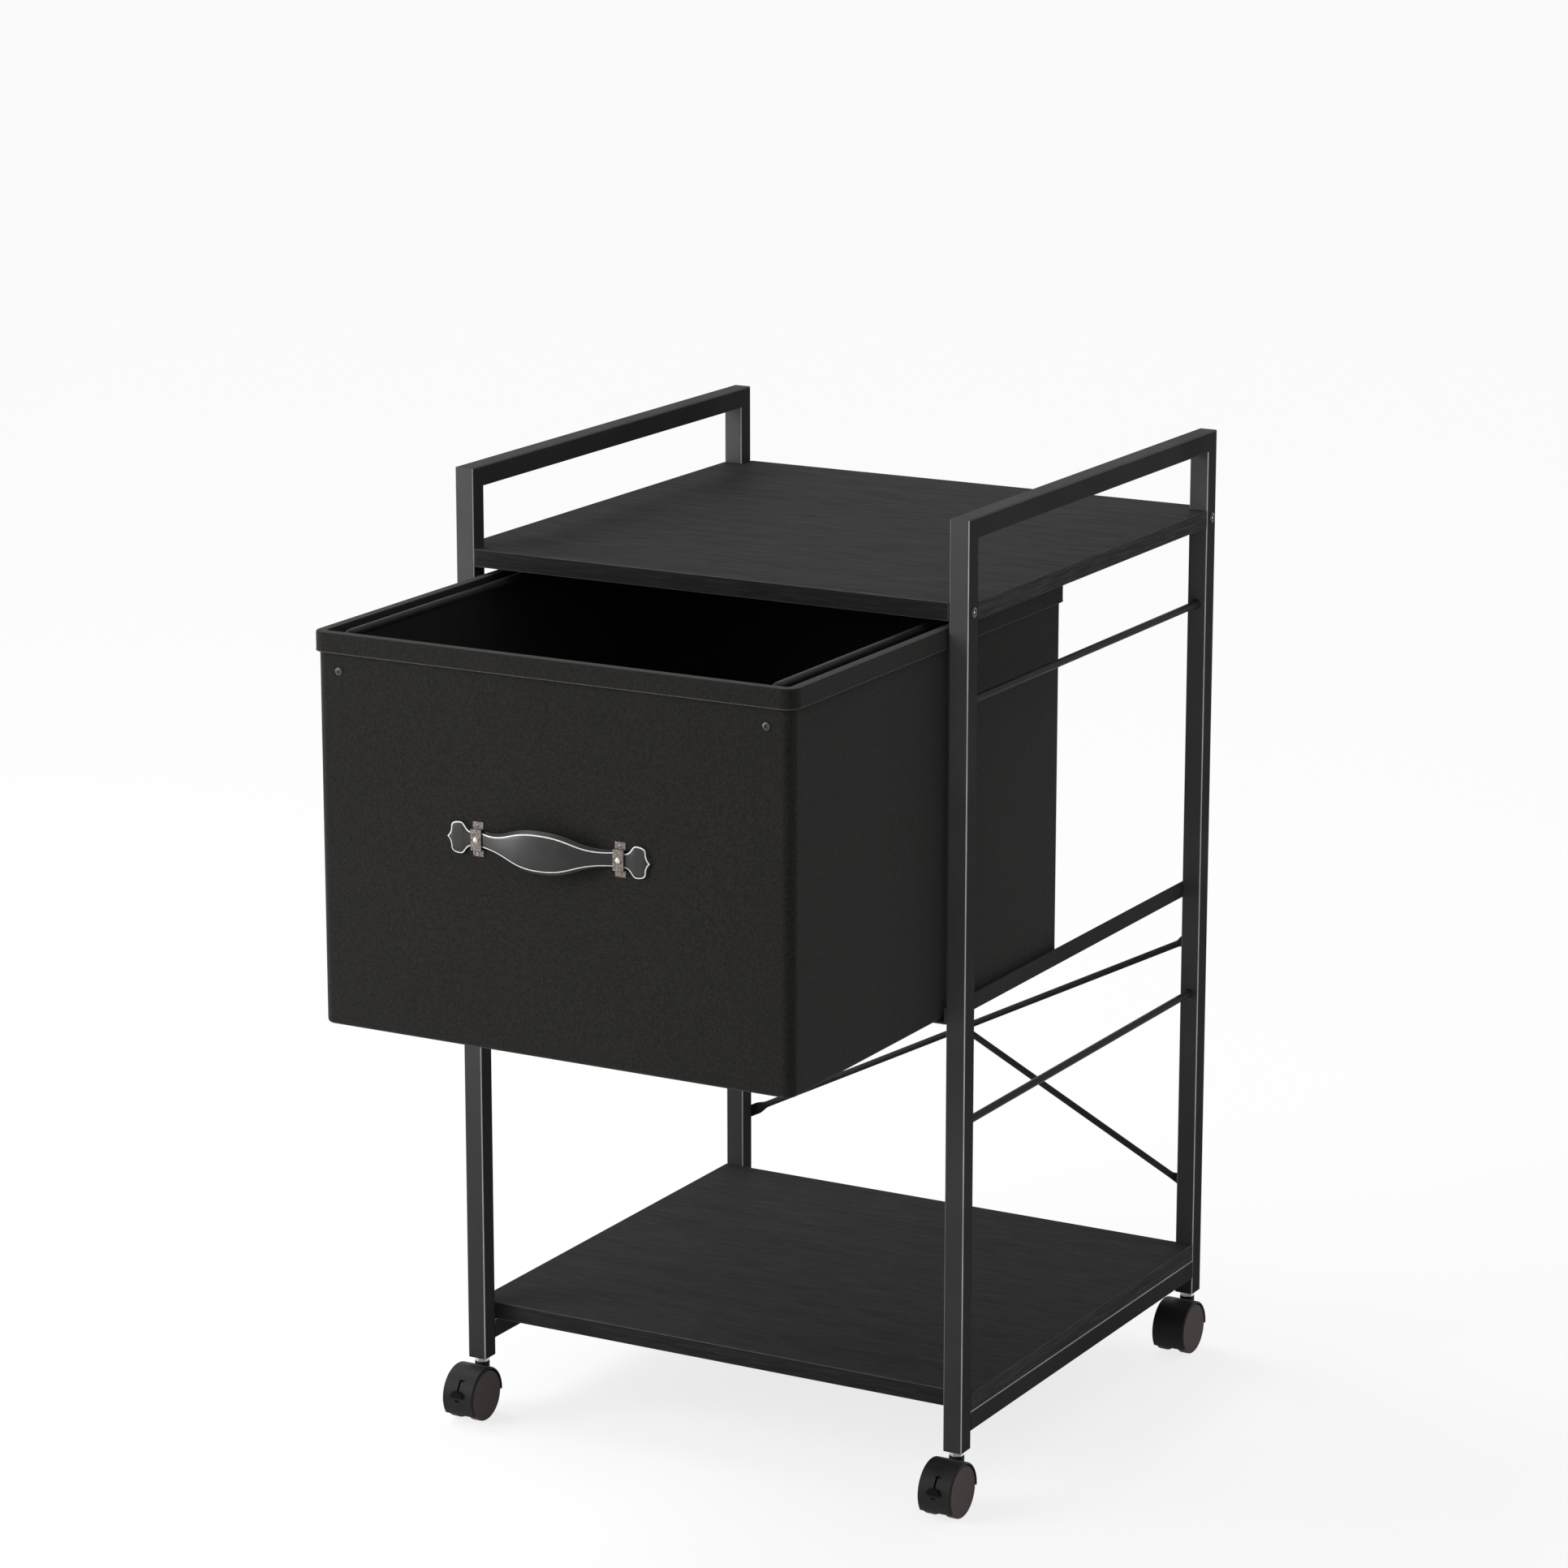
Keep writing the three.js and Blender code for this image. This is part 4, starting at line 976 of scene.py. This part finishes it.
def build_file_rail(side):
    """Rod along the top of the drawer, bent down and riveted at both ends."""
    node = f"{side}_file_rail"
    low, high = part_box(node)
    x = (low.x + high.x) / 2
    front, rear = low.y + RAIL_RADIUS, high.y - RAIL_RADIUS
    top = high.z - RAIL_RADIUS
    corners = [Vector((x, y, z)) for y, z in ((front, low.z), (front, top), (rear, top), (rear, low.z))]
    points = wire_path(corners, RAIL_BEND)
    points = [points[0], points[0] + RAIL_TIP * Z, *points[1:-1], points[-1] + RAIL_TIP * Z, points[-1]]
    radii = [RAIL_RADIUS] * len(points)
    radii[0] = radii[-1] = RAIL_RADIUS - RAIL_TIP
    piece(f"{node}_wire", wire(points, radii, X), ROD_ENAMEL, "drawer", [node])
    for end, sign in ENDS.items():
        y = DRAWER_LOW.y if sign < 0 else DRAWER_HIGH.y
        seat = Vector((x, y, DRAWER_TOP - RIVET_DROP))
        head = dome(RIVET_RADIUS, RIVET_RIM, RIVET_HEIGHT)
        ring = [(r, h) for r, h in head if r > RIVET_DIMPLE]
        dimple = [(RIVET_DIMPLE, ring[-1][1]), (RIVET_DIMPLE / 2, RIVET_RIM), (0, RIVET_RIM)]
        skin = lathe([(0, -RIVET_RIM), (RIVET_RADIUS, -RIVET_RIM), *ring, *dimple], seat, sign * Y)
        piece(f"{node}_{end}_rivet", skin, BLACK_STEEL, "drawer")


# Strap handle

def strap_edge():
    """Upper edge of the strap as (x, z) about its middle, from its left point to its right one."""
    low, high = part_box("handle_strap")
    middle, tip = (high.z - low.z) / 2, high.x
    clip_low, clip_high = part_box("handle_right_bracket")
    start, end = clip_low.x, clip_high.x
    flare = end + FLARE_REACH
    shoulder = (flare + 2 * tip) / 3
    right = [
        *bezier([(0, middle), (start / 2, middle), (start / 2, NECK_HALF), (start, NECK_HALF)], 2 * CURVE_STEPS),
        (end, NECK_HALF),
        *bezier([(end, NECK_HALF), ((end + flare) / 2, NECK_HALF), ((end + flare) / 2, FLARE_HALF), (flare, FLARE_HALF)]),
        *bezier([(flare, FLARE_HALF), (shoulder, FLARE_HALF), (shoulder, SHOULDER_HALF)]),
        *bezier([(shoulder, SHOULDER_HALF), (shoulder, SHOULDER_HALF / 3), (tip, 0)]),
    ]
    return [*[(-x, z) for x, z in reversed(right)], (0, middle), *right]


def strap_bow(x):
    """How far the strap stands off the drawer at x."""
    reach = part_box("handle_right_bracket")[0].x
    share = min(abs(x) / reach, 1)
    return STRAP_BOW * (1 - share ** BOW_FLATNESS)


def strap_inset(edge, i, distance):
    """Point of the strap's edge moved inward, no further than the middle of its pointed end."""
    before, after = edge[max(i - 1, 0)], edge[min(i + 1, len(edge) - 1)]
    normal = Vector((before.y - after.y, after.x - before.x)).normalized()
    point = edge[i] - distance * normal
    if point.y <= 0 or i in (0, len(edge) - 1):
        end = 1 if edge[i].x > 0 else -1
        point = Vector((edge[-1].x - 2 * distance, 0)) * end
    return point


def build_strap():
    """Leather strap with a bevelled, pale edge, bowed between its clips: cream edge dressing on the front bevel, pale
    enough to be partly a painted highlight, and a grey copy on the back rim as painted shade.
    """
    edge = [Vector(p) for p in strap_edge()]
    face = DRAWER_LOW.y
    height = centre("handle_strap").z

    def at(point, share, depth):
        return Vector((point.x, face - depth - strap_bow(point.x), height + share * point.y))

    front, back = STRAP_BACK + STRAP_GAUGE, STRAP_BACK
    rows = [1 - 2 * j / STRAP_ROWS for j in range(STRAP_ROWS + 1)]
    rings = []
    for i, outer in enumerate(edge):
        bevel = STRAP_BEVEL + STRAP_SWELL * strap_bow(outer.x) / STRAP_BOW
        crest = strap_inset(edge, i, bevel)
        inner = strap_inset(edge, i, bevel + STRAP_PIPING)
        ring = [at(inner, t, front + STRAP_CROWN * inner.y * (1 - t * t)) for t in rows]
        side = [(crest, front - STRAP_CHAMFER), (outer, back + STRAP_RIM), (outer, back)]
        ring += [at(point, -1, depth) for point, depth in side]
        ring += [at(inner, t, back) for t in reversed(rows)]
        ring += [at(point, 1, depth) for point, depth in reversed(side)]
        rings.append(ring)
    # Material numbers round a ring: cream painted highlight on the front bevel, grey painted shade on the back rim
    around = [0] * len(rings[0])
    around[STRAP_ROWS] = around[-1] = 1
    around[STRAP_ROWS + 2] = around[-3] = 2
    slots = around * (len(rings) - 1) + [0, 0]
    strap = new_object("handle_strap_leather", loft(rings), slots)
    dress(strap, LEATHER, "drawer", ["handle_strap"])
    strap.data.materials.append(EDGE_CREAM_HIGHLIGHT)
    strap.data.materials.append(EDGE_GREY_SHADED)


def build_clip(side):
    """Bracket over a neck of the strap, with a stud in its bridge and a screw in each tab."""
    node = f"handle_{side}_bracket"
    low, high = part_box(node)
    middle = (low + high) / 2
    wall, front = high.y, low.y
    tip = (high.z - low.z) / 2
    outside = tip - CLIP_TAB
    inside = outside - CLIP_GAUGE
    tab = wall - CLIP_GAUGE
    bridge = front + CLIP_GAUGE
    upper = [(wall, inside), (wall, tip), (tab, tip), (tab, outside), (front, outside)]
    lower = [(y, -z) for y, z in reversed(upper)]
    section = [*upper, *lower, (bridge, -inside), (bridge, inside)]
    skin = prism(section, Vector((low.x, 0, middle.z)), Y, Z, (high.x - low.x) * X)
    piece(f"handle_{side}_clip", skin, CLIP_METAL, "drawer", [node], CLIP_EDGE)
    seat = Vector((middle.x, front, middle.z))
    skin = lathe([(0, 0), *dome(STUD_RADIUS, 0, STUD_HEIGHT)], seat, -Y)
    piece(f"handle_{side}_stud", skin, STUD_METAL, "drawer")
    for place, sign in (("upper", 1), ("lower", -1)):
        seat = Vector((middle.x, tab, middle.z + sign * (outside + tip) / 2))
        skin = lathe([(0, 0), *dome(PIN_RADIUS, 0, PIN_HEIGHT)], seat, -Y)
        piece(f"handle_{side}_{place}_pin", skin, PIN_METAL, "drawer")


# Casters

def hood_skin(axle, radius, half_width):
    """Solid of the hood's side view, with rounded edges."""
    rear = -degrees(asin(HOOD_REAR_DROP / radius))
    front = 180 + degrees(asin((axle.z - HOOD_FRONT_CLEARANCE) / radius))
    corner = arc((half_width - HOOD_EDGE, radius - HOOD_EDGE), HOOD_EDGE, 0, 90)
    profile = [*[(-x, r) for x, r in corner], *reversed(corner)]
    rings = []
    for x, r in profile:
        rings.append([axle + Vector((x, y, z)) for y, z in arc((0, 0), r, rear, front, HOOD_STEPS)])
    return loft(rings)


def build_hood(corner, braked):
    """Hood over both wheels, with a web between them, a neck and, if braked, a slot for the lever."""
    node = f"{corner}_caster_hood"
    low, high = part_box(node)
    axle = centre(f"{corner}_caster_axle")
    radius = high.z - axle.z
    half_width = (high.x - low.x) / 2
    hood = new_object(f"{corner}_hood", hood_skin(axle, radius, half_width))
    neck_top = centre(f"{corner}_caster_stem")
    neck_top.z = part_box(f"{corner}_post")[0].z - NECK_DROP
    collar = [(0, -NECK_LENGTH), (NECK_RADIUS, -NECK_LENGTH), (NECK_RADIUS, -NECK_EDGE), (NECK_RADIUS - NECK_EDGE, 0)]
    combine(hood, "UNION", lathe([*collar, (0, 0)], neck_top, Z))
    well = radius - HOOD_WALL
    outer = 2 * half_width
    for side in SIDES.values():
        cut = lathe([(0, WEB_HALF), (well, WEB_HALF), (well, outer), (0, outer)], axle, side * X, 2 * LATHE_STEPS)
        combine(hood, "DIFFERENCE", cut)
    if braked:
        cut_slot(hood, axle, lever_pivot(corner), radius)
    dress(hood, HOOD_PLASTIC, f"{corner}_caster", [node])


def lever_pivot(corner):
    """Middle of the pivot of a brake lever."""
    pivot = centre(f"{corner}_brake_lever")
    pivot.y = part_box(f"{corner}_brake_lever")[1].y - LEVER_BOSS
    return pivot


def cut_slot(hood, axle, pivot, radius):
    """Slot for the sweep of a brake lever, with a foot to the right at its top and an eye below it."""
    reach = 2 * radius + axle.y - pivot.y
    wedge = [(0, SLOT_RISE), (-reach, SLOT_RISE + SLOT_SLOPE * reach), (-reach, -SLOT_DROP), (0, -SLOT_DROP)]
    combine(hood, "DIFFERENCE", prism(wedge, pivot - SLOT_HALF * X, Y, Z, 2 * SLOT_HALF * X))
    pocket = circle(LEVER_BOSS + NOTCH_GAP)
    combine(hood, "DIFFERENCE", prism(pocket, pivot - SLOT_HALF * X, Y, Z, 2 * SLOT_HALF * X))
    recesses = [
        (0, SLOT_FOOT, SLOT_TOP - SLOT_FOOT_HEIGHT, SLOT_TOP, SLOT_FOOT_DEPTH),
        (-EYE_HALF, EYE_HALF, -EYE_DROP, EYE_HEIGHT - EYE_DROP, EYE_DEPTH),
    ]
    for left, right, bottom, top, depth in recesses:
        height = pivot.z + (bottom + top) / 2 - axle.z
        floor = axle.y + depth - sqrt(radius ** 2 - height ** 2)
        near = Vector((pivot.x + left, floor - radius, pivot.z + bottom))
        combine(hood, "DIFFERENCE", block(near, Vector((pivot.x + right, floor, pivot.z + top))))


def build_wheel(corner, side):
    """Wheel with a slightly dished disc outside, a rounded tread and a hub inside."""
    node = f"{corner}_caster_{side}_wheel"
    low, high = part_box(node)
    width = high.x - low.x
    radius = (high.z - low.z) / 2
    origin = (low + high) / 2
    origin.x = low.x if SIDES[side] > 0 else high.x
    inside = width - WHEEL_DISC
    tread = radius - WHEEL_TREAD
    profile = [
        (0, inside), (AXLE_BORE, inside), (AXLE_BORE, 0), (HUB_RADIUS, 0), (HUB_RADIUS, inside),
        (tread, inside), (tread, 0),
        *[(b, a) for a, b in arc((WHEEL_EDGE, radius - WHEEL_EDGE), WHEEL_EDGE, 180, 90)],
        *[(b, a) for a, b in arc((width - WHEEL_EDGE, radius - WHEEL_EDGE), WHEEL_EDGE, 90, 0)],
        (tread, width - WHEEL_DISH), (0, width),
    ]
    skin = lathe(profile, origin, SIDES[side] * X, 2 * LATHE_STEPS)
    piece(f"{corner}_{side}_roller", skin, WHEEL_PLASTIC, f"{corner}_{side}_wheel", [node])


def build_lever(corner):
    """Brake lever: a boss, an arm through the hood's slot and a half-round toe tab."""
    node = f"{corner}_brake_lever"
    pivot = lever_pivot(corner)
    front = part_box(node)[0].y
    tab = Vector((pivot.x, front, pivot.z - LEVER_TAB_HEIGHT / 2))
    half_round = [(LEVER_TAB_HALF * a, LEVER_TAB_HEIGHT * b) for a, b in arc((0, 0), 1, 0, 180, 4 * CORNER_STEPS)]
    lever = new_object(f"{corner}_lever", prism(half_round, tab, X, Z, LEVER_TAB_GAUGE * Y))
    near = Vector((pivot.x - LEVER_HALF, front + LEVER_TAB_SINK, pivot.z - LEVER_HALF_HEIGHT))
    combine(lever, "UNION", block(near, pivot + Vector((LEVER_HALF, 0, LEVER_HALF_HEIGHT))))
    boss = prism(circle(LEVER_BOSS), pivot - LEVER_HALF * X, Y, Z, 2 * LEVER_HALF * X)
    combine(lever, "UNION", boss)
    dress(lever, LEVER_PLASTIC, f"{corner}_brake", [node], LEVER_EDGE)


# Studio

def seen_rays(nodes, links):
    """1 where a surface is seen or mirrored, and 0 where it only gives light."""
    path = nodes.new("ShaderNodeLightPath")
    seen = path.outputs["Is Camera Ray"]
    for ray in ("Is Glossy Ray", "Is Transmission Ray"):
        either = nodes.new("ShaderNodeMath")
        either.operation = "MAXIMUM"
        links.new(seen, either.inputs[0])
        links.new(path.outputs[ray], either.inputs[1])
        seen = either.outputs[0]
    return seen


def build_floor():
    """Pale floor that fills the view, part white by itself where it is seen."""
    corners = [(a * FLOOR_HALF, b * FLOOR_HALF) for a, b in ((-1, -1), (1, -1), (1, 1), (-1, 1))]
    floor = new_object("floor", ([Vector((x, y, 0)) for x, y in corners], [(0, 1, 2, 3)]))
    finish = Finish("floor", Roughness=1, Specular_IOR_Level=0, Emission_Color=tone(1))
    seen = seen_rays(finish.nodes, finish.links)
    finish.colour(finish.blend(seen, tone(FLOOR_COLOUR), tone(FLOOR_SHADE)))
    finish.put(finish.shader, "Emission Strength", finish.math("MULTIPLY", seen, FLOOR_GLOW))
    floor.data.materials.append(finish.material)


def build_world():
    """White surround where it is seen or mirrored, and a softer one for its light."""
    world = bpy.data.worlds.new("studio")
    bpy.context.scene.world = world
    world.use_nodes = True
    nodes = world.node_tree.nodes
    links = world.node_tree.links
    strength = nodes.new("ShaderNodeMapRange")
    links.new(seen_rays(nodes, links), strength.inputs["Value"])
    strength.inputs["To Min"].default_value = AMBIENT
    background = nodes["Background"]
    background.inputs["Color"].default_value = tone(1)
    links.new(strength.outputs["Result"], background.inputs["Strength"])


def add_lamp(name, kind, place, power):
    """Lamp that points at the middle of the cart."""
    lamp = bpy.data.lights.new(name, kind)
    lamp.energy = power
    obj = bpy.data.objects.new(name, lamp)
    target = (cad_box[0] + cad_box[1]) / 2
    obj.location = place
    obj.rotation_mode = "QUATERNION"
    obj.rotation_quaternion = (target - place).to_track_quat("-Z", "Y")
    bpy.context.scene.collection.objects.link(obj)
    return lamp


def build_lights():
    """Soft light from the left, a weaker one from behind and two softboxes in front."""
    middle = (cad_box[0] + cad_box[1]) / 2
    suns = [("key", KEY_FROM, KEY_STRENGTH, KEY_ANGLE), ("fill", FILL_FROM, FILL_STRENGTH, FILL_ANGLE)]
    for name, direction, strength, angle in suns:
        sun = add_lamp(name, "SUN", middle + 4 * direction, strength)
        sun.angle = radians(angle)
    boxes = [("softbox", SOFTBOX_AT, SOFTBOX_SIZE, SOFTBOX_POWER), ("strip", STRIP_AT, STRIP_SIZE, STRIP_POWER)]
    for name, place, size, power in boxes:
        box = add_lamp(name, "AREA", place, power)
        box.shape = "SQUARE"
        box.size = size


def build_camera():
    """Camera at the photograph's angle."""
    camera = bpy.data.cameras.new("camera")
    camera.lens = CAMERA_LENS
    obj = bpy.data.objects.new("camera", camera)
    yaw, pitch = radians(CAMERA_YAW), radians(CAMERA_PITCH)
    ahead = Vector((-sin(yaw) * cos(pitch), cos(yaw) * cos(pitch), -sin(pitch)))
    obj.location = CAMERA_AT
    obj.rotation_mode = "QUATERNION"
    obj.rotation_quaternion = ahead.to_track_quat("-Z", "Y")
    bpy.context.scene.collection.objects.link(obj)
    bpy.context.scene.camera = obj


build_camera()
build_floor()
build_world()
build_lights()
bpy.context.scene.view_settings.view_transform = "Standard"

build_shelves()
build_brace("rising", 1)
build_brace("falling", -1)
build_drawer_cover()
build_drawer_base()
build_drawer_rim()
build_strap()
for side_name in SIDES:
    build_rail(f"{side_name}_top_rail", 1)
    build_rail(f"{side_name}_bottom_rail", 0)
    build_side_rod(f"{side_name}_upper_rod")
    build_side_rod(f"{side_name}_lower_rod")
    build_angle(side_name)
    build_file_rail(side_name)
    build_clip(side_name)
    for end_name in ENDS:
        corner_name = f"{end_name}_{side_name}"
        build_post(end_name, side_name)
        build_bolt(end_name, side_name)
        build_hood(corner_name, end_name == "front")
        build_wheel(corner_name, "left")
        build_wheel(corner_name, "right")
        finish_node(f"{corner_name}_caster_socket", PLUG_PLASTIC)
        finish_node(f"{corner_name}_caster_axle", ZINC)
        finish_node(f"{corner_name}_caster_stem", ZINC, STEM_EDGE)
    build_lever(f"front_{side_name}")
